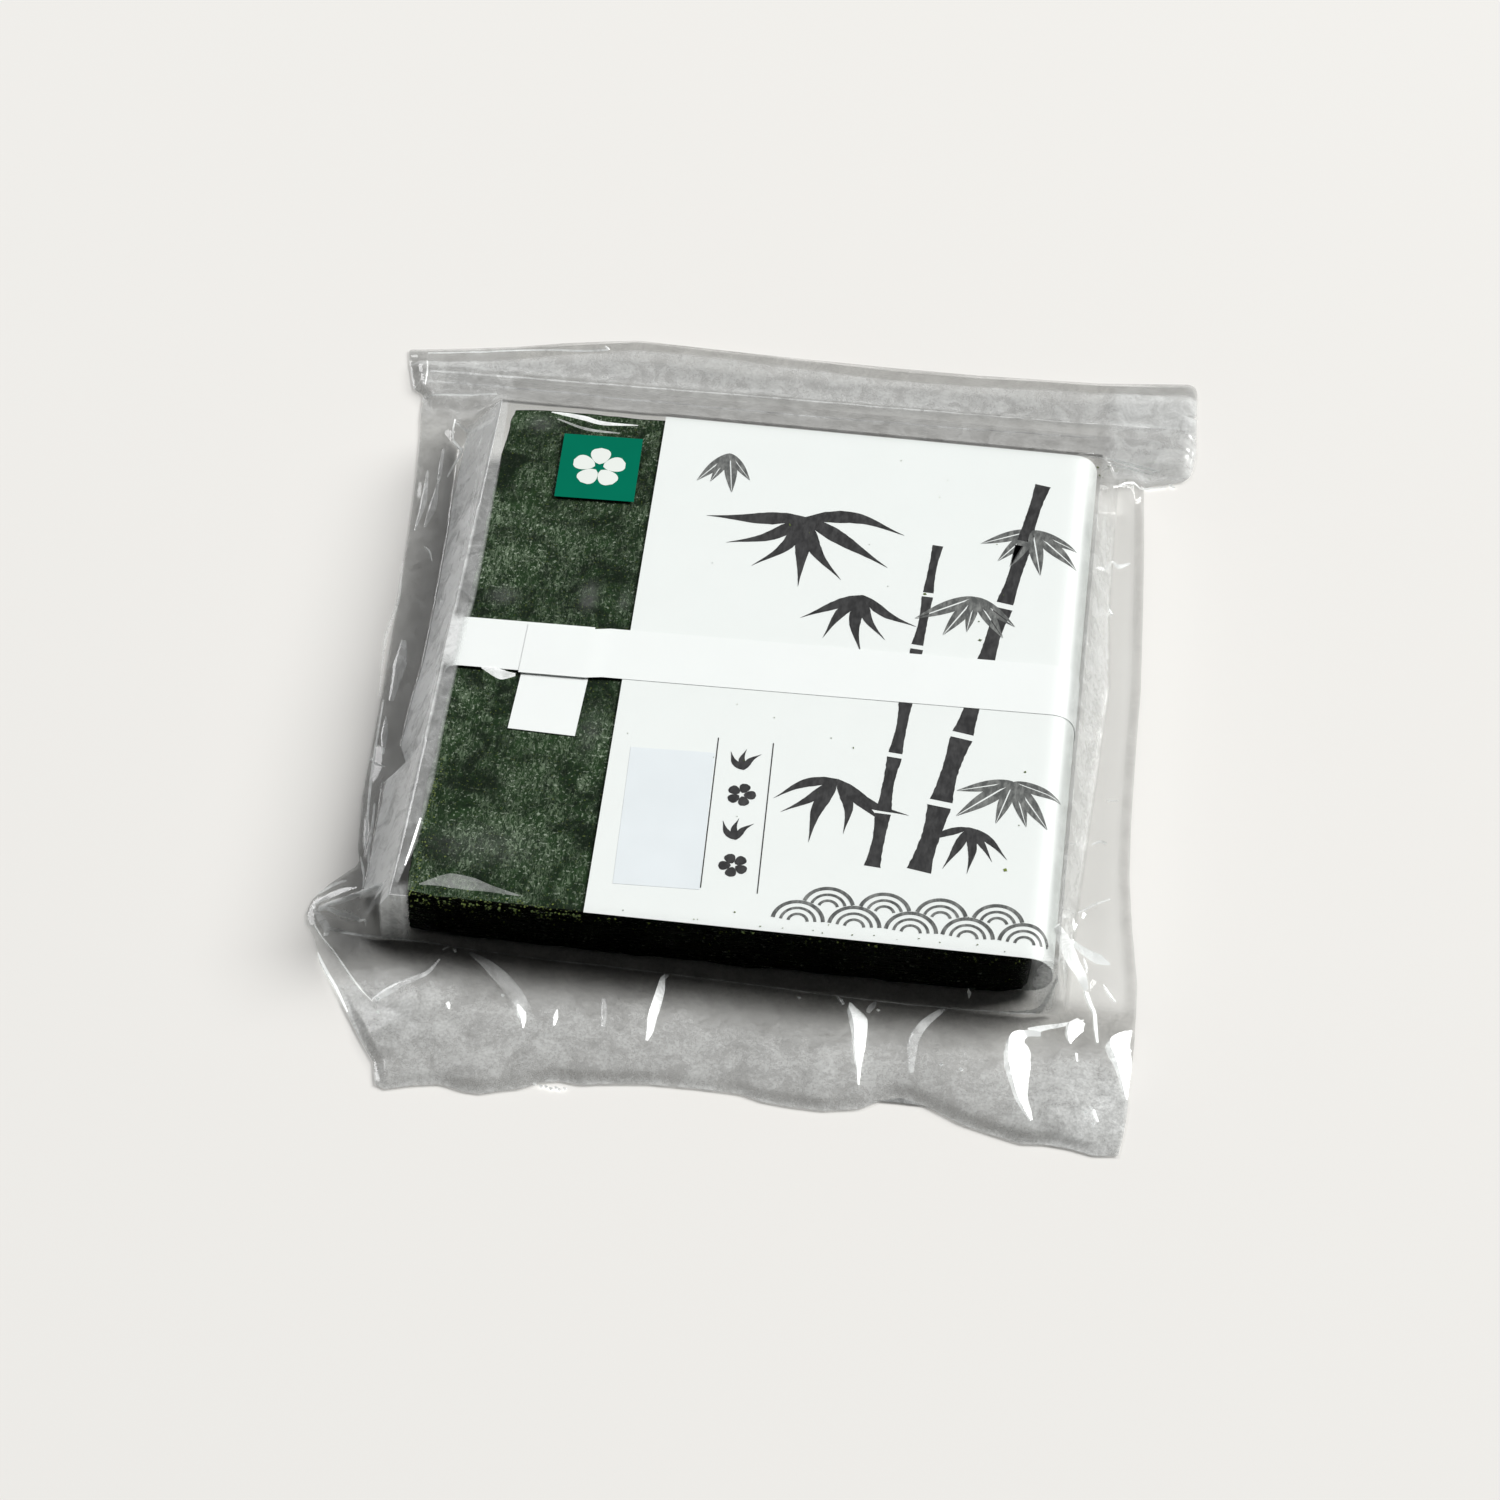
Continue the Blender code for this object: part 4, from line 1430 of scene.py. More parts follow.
    def spots(self, x: Array, y: Array, rows: tuple[tuple[float, Pair, Pair], ...]) -> Array:
        """The sum of soft ovals, each as strong as it says at its middle and 0 outside its radii.

        Args:
            x, y: where it is read.
            rows: each oval's strength, middle and radii.

        Returns:
            The sum at each place.
        """
        total = np.zeros(x.shape)
        for share, (at_x, at_y), (wide, long) in rows:
            total = total + share * ramp_down(np.hypot((x - at_x) / wide, (y - at_y) / long), 1, 1)
        return total

    def header_zones(self, x: Array, y: Array) -> tuple[Array, Array]:
        """1 in the light strip between the zip and the top border, and 1 in that border.

        Args:
            x, y: where it is read.

        Returns:
            Both, as shares from 0 to 1.
        """
        border = ramp_up(y, self.outline.along(x)[1] - 7.5, 0.8)
        lean = np.maximum((x + 50) * 0.022, 0)
        return ramp_up(y, 138.6 + lean, 0.8) * (1 - border), border

    def haze_and_painted_light(self, x: Array, y: Array) -> Array:
        """How white the film is, as frosting and as painted light: most on the slopes, and some on the flap,
        the header and in soft spots.

        Args:
            x, y: where it is read.

        Returns:
            Shares from 0 to 1.
        """
        start = line_over(self.near_foot, x)
        # Frosting on the flap, held back near the stack's foot as painted shade
        flap = 0.24 * ramp_down(y, start - 5, 22) + 0.01 * ramp_down(y, start + 1, 1)
        strip, border = self.header_zones(x, y)
        header = (0.12 + 0.15 * strip) * ramp_up(y, 110, 14)
        header = (header + 0.10 * ramp_up(x, 98, 20) * ramp_up(y, 114, 4)) * (1 - 0.85 * border)
        left = 0.10 * ramp_down(x, -99, 3) * ramp_up(y, -106, 2)
        beyond = ramp_up(x, line_at(self.right_foot, y), 0.6) * ramp_up(y, -108, 3) * ramp_down(y, 116, 3)
        right = 0.07 * ramp_up(x, 103, 3) * ramp_up(y, -108, 2) * (1 - 0.8 * beyond)
        # Painted reflection on the left slope, whitened almost fully, and painted light on the right slope
        slopes = np.maximum(0.93 * self.slope(x, y), 0.20 * self.veil(x, y)) + 0.22 * self.right_slope(x, y)
        total = slopes + flap + header + left + right + self.spots(x, y, self.whitening_and_painted_light_spots)
        # Painted light: the film over the band's shaded left end is whitened as if lit
        return np.clip(np.maximum(total, 0.8 * self.band_end(x, y)), 0, 0.95)

    def speck(self, x: Array, y: Array) -> Array:
        """How far the white is broken into dots: fully on the flap and at the foot of the right slope.

        Args:
            x, y: where it is read.

        Returns:
            Shares from 0 to 1.
        """
        foot = line_at(self.right_foot, y)
        stripe = ramp_up(x, foot - 6, 2) * ramp_down(x, foot, 0.5)
        smooth = (
            0.94 * self.slope(x, y),
            0.75 * self.right_slope(x, y) * (1 - stripe),
            0.6 * ramp_up(x, foot, 0.6) * ramp_down(np.abs(y), 112, 4),
            0.9 * self.band_end(x, y),
            0.5 * self.veil(x, y),
            0.40 * ramp_up(y, 112, 8) * (1 + 0.55 * ramp_up(x, 70, 30)),
        )
        return 1 - np.maximum.reduce(smooth)

    def clear(self, x: Array, y: Array) -> Array:
        """How little grey the film has: 1 flat on the stack, less beside it, and 0 on most of the flap. The
        right side and the header's right end are clearer as painted light.

        Args:
            x, y: where it is read.

        Returns:
            Shares from 0 to 1.
        """
        left, _, near, far = self.dome
        on_stack = ramp_up(margin(x, y, left, 99.5, near, far - 1), -1.5, 2.5)
        welded = ramp_up(x, self.outline.across(y)[1] - self.weld - 0.3, 0.5)
        # Painted light: the film right of the stack is made clearer so it reads lighter
        side = (0.22 + 0.76 * ramp_up(x, line_at(self.right_foot, y), 0.6)) * (1 - 0.5 * welded)
        side = side * ramp_up(x, 96, 8) * ramp_up(y, -112, 10) * ramp_down(y, 116, 2)
        strip, border = self.header_zones(x, y)
        # Painted light at the header's right end, clearer towards the right
        header = (0.12 * strip + 0.3 * ramp_up(x, 84, 36)) * (1 - border) * ramp_up(y, 110, 6)
        outer = 0.75 * ramp_down(y, line_over(self.hem, x), 0.6) * ramp_down(x, -97, 4) * ramp_up(y, -142, 12)
        return np.maximum.reduce([on_stack, side, header, outer])

    def shine(self, x: Array, y: Array) -> Array:
        """How strongly the film mirrors: least down the near face, which mirrors only the dark flap.

        Args:
            x, y: where it is read.

        Returns:
            Shares from 0 to 1.
        """
        _, _, near, far = self.dome
        face = ramp_down(y, near + 1.5, 1.5) * ramp_up(y, near - 7, 2)
        on_stack = ramp_up(margin(x, y, *self.dome), 1, 4)
        beyond = ramp_up(x, line_at(self.right_foot, y), 1) * ramp_down(np.abs(y), 112, 6)
        far_slope = ramp_up(y, far + 1, 2) * ramp_down(y, far + 22, 3)
        quiet = np.clip(self.spots(x, y, self.quiet), 0, 1)
        flat = (1 - 0.6 * on_stack) * (1 - 0.6 * beyond) * (1 - 0.7 * far_slope) * (1 - quiet)
        return (1 - 0.96 * face) * (1 - 0.6 * self.slope(x, y)) * flat

    def build(self, material: bpy.types.Material) -> None:
        """Makes both films.

        Args:
            material: the clear film.
        """
        rows = stations(self.row_stops, self.row_steps)
        x, y = self.plan(self.steps, rows)
        lower = np.stack([x, y, self.front_height(x, y)], -1)
        body = closed_sheet(lower + grid_normals(lower) * FILM, lower)
        keys = ("haze_and_painted_light", "speck", "clear", "shine")
        values = {key: np.tile(getattr(self, key)(x, y).ravel(), 2) for key in keys}
        make_piece("clear_front_film", [body], material, ("bag_front_film",), values)
        x, y = self.plan(self.back_steps, rows[::3])
        lower = np.stack([x, y, 0.02 + 0.12 * (1 + ripple(x, y, 71, 40)).clip(0, 2)], -1)
        body = closed_sheet(lower + np.array([0, 0, FILM]), lower)
        values = film_values(2 * x.size, 0.005, 1.0, 0.93, 0.3)
        back = make_piece("clear_back_film", [body], material, ("bag_back_film",), values)
        back.visible_shadow = False


@dataclass(frozen=True)
class Crease:
    """A sharp pleat of the film along a curve: its widths, how white it is and its rise over its width. The
    white is partly the film's stress whitening and partly painted glints and highlight lines.

    It lies on the front film, or spans freely where it has heights of its own.
    """

    stops: Line
    widths: tuple[float, ...]
    white: float = 0.6
    rise: float = 0.5
    heights: tuple[float, ...] = ()

    def body(self, bag: Bag) -> Body:
        """The pleat as a low tent, steep on its left or far side and sloped on the other.

        Args:
            bag: the bag whose front film carries it.

        Returns:
            The body.
        """
        stops, widths, heights = np.array(self.stops, float), self.widths, self.heights
        if (stops[-1] - stops[0]).sum() < 0:
            stops, widths, heights = stops[::-1], widths[::-1], heights[::-1]
        count = 6 * len(stops) + 8
        line = curve_through(stops, count)
        width = evenly(widths, count)[:, None]
        tangent = unit_rows(np.gradient(line, axis=0))
        across = np.stack([tangent[:, 1], -tangent[:, 0]], -1)
        station = np.array([-1.0, -0.7, -0.13, 0.43, 1.0])
        tent = np.array([0.0, 1.0, 0.667, 0.333, 0.0])
        flat = line[:, None, :] + across[:, None, :] * (station * width)[..., None] / 2
        base = bag.front_height(flat[..., 0], flat[..., 1]) + FILM + 0.01
        if heights:
            base = evenly(heights, count)[:, None] + 0 * base
        high = base + 0.03 + self.rise * width * tent
        return closed_sheet(np.dstack([flat, high]), np.dstack([flat, base]))


@dataclass
class Creases:
    """All the film's sharp pleats, painted glints and ties, by where they lie on the bag."""

    bag: Bag
    # From the stack's near face to the bottom edge; the whitest are painted glints
    near_flap: tuple[Crease, ...] = (
        Crease(((-14.5, -111.5), (-15, -115), (-15, -119), (-15.5, -125.5), (-16, -130.5), (-16, -135),
            (-16.5, -138.5)), (0.5, 1.8, 2.7, 3.2, 3.0, 2.2, 0.8), 0.9),
        Crease(((-14, -110.5), (-14, -112), (-14.5, -114)), (0.8, 1.4, 0.9), 0.4, 0.2),
        Crease(((-56.5, -130), (-55, -133), (-54, -135.5), (-53.5, -138.5)), (0.8, 2.9, 1.8, 0.3), 0.9),
        Crease(((-44.5, -130.5), (-44.5, -133.5), (-44.5, -136.5)), (0.4, 1.5, 0.4), 0.9),
        Crease(((-77, -132), (-77, -133), (-76.5, -134.5)), (0.5, 1.5, 0.4), 0.8),
        Crease(((-31.5, -124.5), (-30.5, -130), (-30, -135.5)), (1.2, 2.0, 1.2), 0.22, 0.15),
        Crease(((-82.5, -116), (-85, -121.5), (-88.5, -124.5), (-92.5, -127), (-96.5, -130),
            (-100, -133)), (0.5, 1.5, 2.0, 2.6, 3.0, 1.6), 0.3, 0.08),
        Crease(((-74.5, -111), (-69, -115), (-63.5, -120), (-58, -126), (-53.5, -132)),
            (1.2, 3.5, 5.0, 5.0, 3.4), 0.16, 0.08),
        Crease(((42, -115.5), (43, -118.5), (45, -122.5), (46, -128.5), (46.5, -136), (47, -140),
            (47.5, -145.5)), (1.0, 3.5, 5.6, 4.4, 2.8, 1.4, 0.6), 0.9),
        Crease(((38, -113), (39, -114.5), (40, -116.5)), (0.7, 1.3, 0.8), 0.5, 0.3),
        Crease(((49.5, -113.5), (48.5, -116), (47.5, -119)), (1.0, 2.2, 1.4), 0.3, 0.2),
        Crease(((70.5, -113.5), (68.5, -116), (65, -121), (62.5, -127), (62, -131.5), (62.5, -139.5)),
            (0.8, 2.2, 2.9, 3.2, 3.0, 1.4), 0.32, 0.15),
        Crease(((99.5, -120), (95, -120.5), (92.5, -123.5), (93, -128), (93.5, -133.5), (94.5, -139.5),
            (95.5, -144.5), (97.5, -149), (99, -152)),
            (1.6, 2.4, 5.4, 8.0, 7.8, 5.4, 3.8, 2.4, 0.8), 0.9, 0.4),
        Crease(((96, -119.5), (101, -117), (106, -115), (112, -112)), (2.8, 1.8, 1.4, 0.6), 0.92, 0.3),
        Crease(((111, -112.5), (109.5, -115.5), (108.5, -119), (108.5, -122)),
            (3.2, 5.6, 3.6, 0.3), 0.95, 0.25),
        Crease(((126.5, -113.5), (123, -120.5), (124.5, -127), (125.5, -133.5), (126.5, -139)),
            (0.4, 8.2, 5.6, 2.9, 0.4), 0.9, 0.4),
    )
    # Where the film comes down in front of the stack, and round its right corner, as thin painted highlight
    # lines
    near_foot: tuple[Crease, ...] = (
        Crease(((-119.5, -107), (-113.5, -107.5), (-108.5, -108), (-102.5, -108), (-93, -108),
            (-82.5, -108.5), (-71.5, -109.5)), (0.6, 0.8, 0.8, 0.8, 0.7, 0.6, 0.5), 0.7, 0.25),
        Crease(((-78, -109), (-52, -110), (-23.5, -110.5), (8, -111.5), (36, -112.5)),
            (0.5, 0.6, 0.5, 0.5, 0.4), 0.5, 0.25),
        Crease(((37, -112.5), (55, -113), (73, -113), (81.5, -112.5), (89.5, -112), (97.5, -111),
            (103, -107.5)), (0.4, 0.5, 0.6, 0.8, 0.9, 0.9, 0.5), 0.55, 0.25),
    )
    # The bunched corner at the near left, its white lines painted highlights
    near_ear: tuple[Crease, ...] = (
        Crease(((-124, -93.5), (-121, -90.5), (-118.5, -88.5), (-116.5, -87.5)), (0.5, 0.9, 0.9, 0.4), 0.6),
        Crease(((-124.5, -98), (-121.5, -96), (-118.5, -94.5), (-115.5, -93.5), (-112, -93)),
            (1.0, 2.0, 2.2, 1.7, 0.4), 0.35, 0.04, (1.0, 2.0, 3.0, 4.0, 5.0)),
        Crease(((-123, -100), (-117.5, -100), (-112.5, -99.5), (-109, -99), (-105, -98.5), (-101, -98)),
            (1.5, 2.6, 2.2, 1.8, 1.6, 1.0), 0.5, 0.15),
        Crease(((-122.5, -101), (-120, -101.5), (-116.5, -103), (-112, -104), (-109.5, -104.5),
            (-106.5, -107)), (0.7, 1.0, 1.1, 1.3, 1.0, 0.4), 0.95, 0.3),
        Crease(((-125, -98), (-123.5, -101), (-121, -104.5), (-119, -107), (-119, -109.5)),
            (1.0, 1.4, 2.0, 2.3, 1.2), 0.38, 0.12),
        Crease(((-123, -106), (-119.5, -110.5), (-115, -115.5), (-110, -122), (-106.5, -126.5),
            (-104, -129.5), (-100, -133.5)), (0.5, 0.6, 0.6, 0.7, 0.6, 0.4), 0.6),
        Crease(((-120, -116), (-118.5, -119), (-116, -123), (-112.5, -128), (-110, -132), (-107, -137)),
            (0.4, 1.0, 1.2, 1.1, 0.9, 0.4), 0.85),
        Crease(((-114, -77.5), (-112.5, -82), (-111.5, -85.5), (-111, -90)), (0.4, 0.8, 0.7, 0.3), 0.7),
        Crease(((-109, -74.5), (-110, -78.5), (-109.5, -82.5)), (0.4, 1.0, 0.4), 0.8, 0.2),
        Crease(((-79, -110.5), (-78.5, -112)), (1.1, 0.7), 0.9),
        Crease(((-82.5, -111.5), (-81, -109.5)), (0.5, 0.5), 0.7),
        Crease(((-98, -137), (-97, -138)), (0.8, 0.6), 0.85),
    )
    # Along the left slope, its bright near end and the neck above the near corner; the whitest are painted
    # highlights
    left_side: tuple[Crease, ...] = (
        Crease(((-100.5, 92), (-100, 60), (-99.5, 30), (-100, 0), (-100.5, -40), (-101, -84)),
            (0.4, 0.6, 0.5, 0.6, 0.6, 0.4), 0.75, 0.3),
        Crease(((-103.5, 90), (-102, 66), (-101.5, 40), (-102, 22)), (0.3, 0.6, 0.5, 0.3), 0.6, 0.3),
        Crease(((-94.5, -76), (-95, -84), (-96, -95)), (0.5, 0.9, 0.4), 0.9),
        Crease(((-117, 55), (-115, 53), (-113.5, 49)), (0.4, 0.8, 0.4), 0.5),
        Crease(((-116.5, 13), (-116, 2.5), (-116, -13)), (1.5, 4.6, 1.6), 0.22, 0.06),
        Crease(((-118.5, -13), (-117.5, -32), (-116, -51), (-113, -75)), (0.5, 0.7, 0.9, 0.5), 0.5),
        Crease(((-123, 48), (-121.5, 30), (-122.5, 12.5), (-120, -11.5)), (0.4, 1.0, 1.0, 0.4), 0.3, 0.2),
        Crease(((-122, 90.5), (-121, 76), (-121.5, 62)), (0.5, 2.2, 0.6), 0.28, 0.08),
        Crease(((-117.5, 84), (-117.5, 74), (-118.5, 64)), (0.5, 2.8, 0.8), 0.2, 0.06),
        Crease(((-116.5, -20), (-115.5, -28), (-114.5, -36)), (0.6, 2.4, 0.8), 0.26, 0.06),
        Crease(((-113.5, -56), (-112.5, -66), (-112, -74), (-110.5, -84)), (0.6, 0.9, 0.7, 0.5), 0.6, 0.3),
        Crease(((-118.5, -37.5), (-116, -40), (-113, -41)), (0.3, 0.7, 0.3), 0.6),
    )
    # Along the zip, and in the bunched film below both its ends; the whitest are painted highlights
    header: tuple[Crease, ...] = (
        Crease(((-131.5, 146), (-97.5, 151.5), (-80.5, 153), (-70.5, 154.5), (-71, 156)),
            (0.4, 0.6, 0.7, 0.8, 0.5), 0.75),
        Crease(((-131, 141.5), (-130, 136), (-129.5, 129)), (0.4, 0.6, 0.4), 0.5),
        Crease(((-129, 136), (-110.5, 136.5), (-90, 137), (-59.5, 137.5), (-20, 138.5), (30, 139),
            (80, 140.5), (118, 142.5)), (0.8, 1.0, 0.8, 0.7, 0.6, 0.6, 0.6, 0.4), 0.28, 0.15),
        Crease(((-128.5, 131), (-95, 131.5), (-50, 131), (10, 131.5), (60, 132.5), (100, 133.5)),
            (0.5, 0.8, 0.6, 0.5, 0.5, 0.3), 0.22, 0.15),
        Crease(((-129, 124), (-117, 125.5), (-104.5, 127.5)), (0.4, 0.8, 0.5), 0.5),
        Crease(((-117, 115.5), (-116, 105.5), (-112, 100), (-113.5, 94.5), (-115, 88)),
            (0.5, 0.8, 1.0, 0.9, 0.4), 0.75),
        Crease(((-116.5, 113.5), (-113, 109), (-110, 106), (-106, 103.5), (-100.5, 100)),
            (0.5, 0.7, 1.1, 2.2, 1.6), 0.8, 0.3),
        Crease(((-115.5, 105), (-113.5, 102.5), (-112, 99.5)), (0.4, 0.9, 0.4), 0.7),
        Crease(((-104.5, 97.5), (-104.5, 95), (-105, 92)), (0.8, 2.0, 0.6), 0.8, 0.25),
        Crease(((-118.5, 101), (-118, 92), (-117.5, 84)), (0.8, 1.6, 0.8), 0.25, 0.15),
        Crease(((-81.5, 103.5), (-76.5, 103), (-70, 102), (-63.5, 100.5), (-52, 101)),
            (0.4, 1.5, 2.2, 1.8, 0.4), 0.85, 0.1),
        Crease(((-79, 100.5), (-68.5, 97), (-57.5, 96.5)), (0.5, 1.3, 0.5), 0.28, 0.05),
        Crease(((95, 122.5), (98.5, 124), (104, 123), (101, 119), (97, 119.5), (95, 122)),
            (0.4, 0.5, 0.6, 0.5, 0.4, 0.4), 0.85),
        Crease(((104, 124.5), (113, 123), (122.5, 121.5)), (0.4, 0.9, 0.4), 0.85),
        Crease(((104, 123), (113, 121.5), (119.5, 120.5)), (0.3, 0.6, 0.3), 0.75),
        Crease(((94.5, 117.5), (96, 112.5), (99.5, 108)), (0.5, 1.0, 0.6), 0.85),
        Crease(((109, 108.5), (113.5, 112), (125, 115.5)), (0.6, 0.7, 0.5), 0.8),
        Crease(((126, 116.5), (128, 115.5)), (0.9, 0.5), 0.85),
        Crease(((131.5, 139.5), (133, 138.5)), (0.9, 0.6), 0.9),
    )
    # The bright pleats off the near right corner, whitened as painted glints, and marks along the right side
    right_side: tuple[Crease, ...] = (
        Crease(((101, -93), (104, -95.5), (107, -98), (110, -99.5), (112, -101.5)),
            (2.4, 4.6, 4.8, 3.6, 1.6), 0.95, 0.05, (21.3, 16.6, 11.6, 6.6, 2.4)),
        Crease(((112, -101.5), (113.5, -105.5), (115, -109), (115.5, -113.5), (116.5, -120)),
            (1.6, 1.4, 1.2, 1.3, 0.8), 0.92),
        Crease(((106, -81.5), (109, -84.5), (112, -86.5), (115, -88), (118.5, -89.5)),
            (0.9, 2.3, 3.2, 3.8, 0.8), 0.95, 0.2),
        Crease(((110.5, -88.5), (111.5, -92), (111.5, -95.5)), (0.6, 1.0, 0.5), 0.75),
        Crease(((117, -97.5), (119, -101), (121, -103.5)), (0.5, 1.3, 0.6), 0.65),
        Crease(((110.5, -125.5), (111, -128.5)), (0.9, 0.5), 0.9),
        Crease(((117, -145), (117.5, -147), (118.5, -149)), (0.7, 1.1, 0.8), 0.85),
        Crease(((109, 57.5), (110.5, 54.5)), (0.5, 1.3), 0.85),
        Crease(((109, 78.5), (111.5, 76.5), (115, 78.5)), (0.5, 2.0, 0.6), 0.8, 0.2),
        Crease(((113.5, -25), (117, -24.5)), (0.5, 0.4), 0.4),
        Crease(((110, -43.5), (112.5, -42), (114.5, -42.5)), (0.4, 0.8, 0.6), 0.5),
        Crease(((117, -64.5), (112, -67.5), (107.5, -71)), (0.4, 0.6, 0.5), 0.6),
        Crease(((109.5, -71), (109, -73)), (1.5, 0.8), 0.9),
        Crease(((107, -75.5), (106.5, -78)), (1.7, 1.0), 0.95),
        Crease(((105, -84.5), (104.5, -87.5)), (2.2, 1.6), 0.95, 0.2),
    )
    # Painted reflections where the film lies flat on the bare sheets and catches the light softly
    on_top: tuple[Crease, ...] = (
        Crease(((-90.5, -101.5), (-86, -100), (-81.5, -99), (-75, -99.5), (-69, -100.5), (-60, -102)),
            (0.4, 3.0, 5.6, 5.0, 2.6, 0.5), 0.14, 0.02),
        Crease(((-86, -13), (-82, -14), (-79, -15), (-75, -14.5)), (0.6, 3.2, 3.8, 1.0), 0.85, 0.05),
    )
    # Painted glints, single points of light: a row at the bottom edge and a few on the flap
    sparkles: Line = (
        (-47.5, -156), (-45.5, -156.5), (-44, -156.5), (-42.5, -157), (-41, -156.5), (-40, -157),
        (-38.5, -156.5), (39, -114.5), (50.5, -117.5), (26.5, -115.5), (77, -110.5), (116, -144.5),
        (117, -150), (71, -136), (77, -137), (-61.5, -127.5), (-98.5, -132.5), (92.5, -139.5),
        (114.5, -146.5),
    )

    def build(self, material: bpy.types.Material) -> None:
        """Makes one piece of all the pleats and painted glints, with the white of each, partly painted
        highlight, in the attribute "haze_and_painted_light".

        Args:
            material: the clear film.
        """
        creases = [
            *self.near_flap, *self.near_foot, *self.near_ear, *self.left_side, *self.header, *self.right_side,
            *self.on_top,
            *(Crease(((x - 0.4, y + 0.3), (x + 0.4, y - 0.3)), (0.5, 0.9), 0.9) for x, y in self.sparkles),
        ]
        parts = [crease.body(self.bag) for crease in creases]
        counts = [len(points) for points, _ in parts]
        values = film_values(sum(counts), 0.0, 0.0, 1.0, 1.0)
        values["haze_and_painted_light"] = np.repeat([crease.white for crease in creases], counts)
        values["speck"] = np.repeat([0.05 if crease.white > 0.5 else 0.25 for crease in creases], counts)
        make_piece("film_pleats", parts, material, (), values).visible_shadow = False


@dataclass
class Crumbs:
    """Loose crumbs of nori on the paper, along the stack's near top edge and in the header."""

    seed: int = 23
    spots: Line = ((3.3, 62.0), (49.7, 37.2), (48.5, 5.3), (87.2, -33.5), (84.1, -73.2), (5.0, -99.9),
                   (33.6, -30.7), (68.9, 19.6))
    size: float = 0.55

    def flake(self, draw: np.random.Generator, place: Place, size: float) -> Body:
        """One flake: a small crooked quad, two by two faces, bent at its middle.

        Args:
            draw: the random numbers.
            place: its middle.
            size: its width.

        Returns:
            The body.
        """
        u, v = np.meshgrid(np.linspace(-1, 1, 3), np.linspace(-1, 1, 3))
        turn = draw.uniform(0, math.pi)
        stretch = draw.uniform(0.4, 1.0)
        a = (u + draw.uniform(-0.3, 0.3, u.shape)) * size / 2
        b = (v + draw.uniform(-0.3, 0.3, u.shape)) * size / 2 * stretch
        c, s = math.cos(turn), math.sin(turn)
        bent = draw.uniform(0, 0.08, u.shape)
        points = np.stack([a * c - b * s, a * s + b * c, bent], -1) + np.array(place)
        return closed_sheet(points + np.array([0, 0, 0.06]), points)

    def build(self, material: bpy.types.Material) -> None:
        """Scatters the flakes by a seeded draw: how many, where each may lie, and its least and most size.

        Args:
            material: the crumbs' green.
        """
        draw = np.random.default_rng(self.seed)
        paper, bare = WRAPPER_TOP + 0.02, STACK_TOP + 0.02

        def near_face() -> Place:
            """Draws a place on the stack's near face, mostly high up, and more often at its left.

            Returns:
                The place.
            """
            down = min(draw.exponential(2.2), 12)
            x = draw.uniform(-93, 94) if draw.uniform() < 0.5 else draw.uniform(-93, -40)
            return x, -106.45 - 0.05 * draw.uniform(), STACK_TOP - 0.1 - down

        parts = [self.flake(draw, (x, y, paper), self.size * draw.uniform(1.0, 1.9)) for x, y in self.spots]
        for count, place, least, most in (
            (26, lambda: (draw.uniform(-38, 96), draw.uniform(-103, 103), paper), 0.4, 0.8),
            (14, lambda: (draw.uniform(-38, 96), -104.4 + draw.exponential(0.8), paper), 0.5, 1.0),
            (230, near_face, 0.5, 1.4),
            (110, lambda: (draw.uniform(-93, -42), -105.8 + draw.exponential(1.6), bare), 0.4, 1.1),
            (110, lambda: (-93 + draw.exponential(1.3), draw.uniform(-105, -50), bare), 0.4, 1.1),
            (34, lambda: (draw.uniform(48, 127), draw.uniform(117, 129), 0.42), 0.8, 2.0),
        ):
            for _ in range(count):
                parts.append(self.flake(draw, place(), self.size * draw.uniform(least, most)))
        make_piece("loose_crumbs", parts, material, smooth=False)


@dataclass
class Zip:
    """The zip's two pressed tracks, shown as one ribbed strip of clear plastic between the films."""

    rib_at: tuple[float, ...] = (-2.6, -0.9, 0.9, 2.6)
    rib_height: float = 0.35
    rib_width: float = 0.35
    bottom: float = 0.9
    thickness: float = 0.3

    def build(self, material: bpy.types.Material) -> None:
        """Makes the strip: level, with a bell-shaped rib at each place of rib_at.

        Args:
            material: the clear plastic.
        """
        start, stop = (np.array(corner) / MM - STACK_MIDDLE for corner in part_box("zip_groove_track"))
        middle = (start[1] + stop[1]) / 2
        x, y = np.meshgrid(np.linspace(start[0], stop[0], 60), np.linspace(start[1], stop[1], 70))
        ribs = sum(np.exp(-(((y - middle - at) / self.rib_width) ** 2)) for at in self.rib_at)
        lower = np.stack([x, y, self.bottom + 0 * x], -1)
        upper = np.stack([x, y, self.bottom + self.thickness + self.rib_height * ribs], -1)
        values = film_values(2 * x.size, 0.03, 1.0, 0.80, 0.6)
        nodes = ("zip_groove_track", "zip_rib_track")
        body = closed_sheet(upper, lower)
        tracks = make_piece("clear_zip_tracks", [body], material, nodes, values)
        tracks.visible_shadow = False


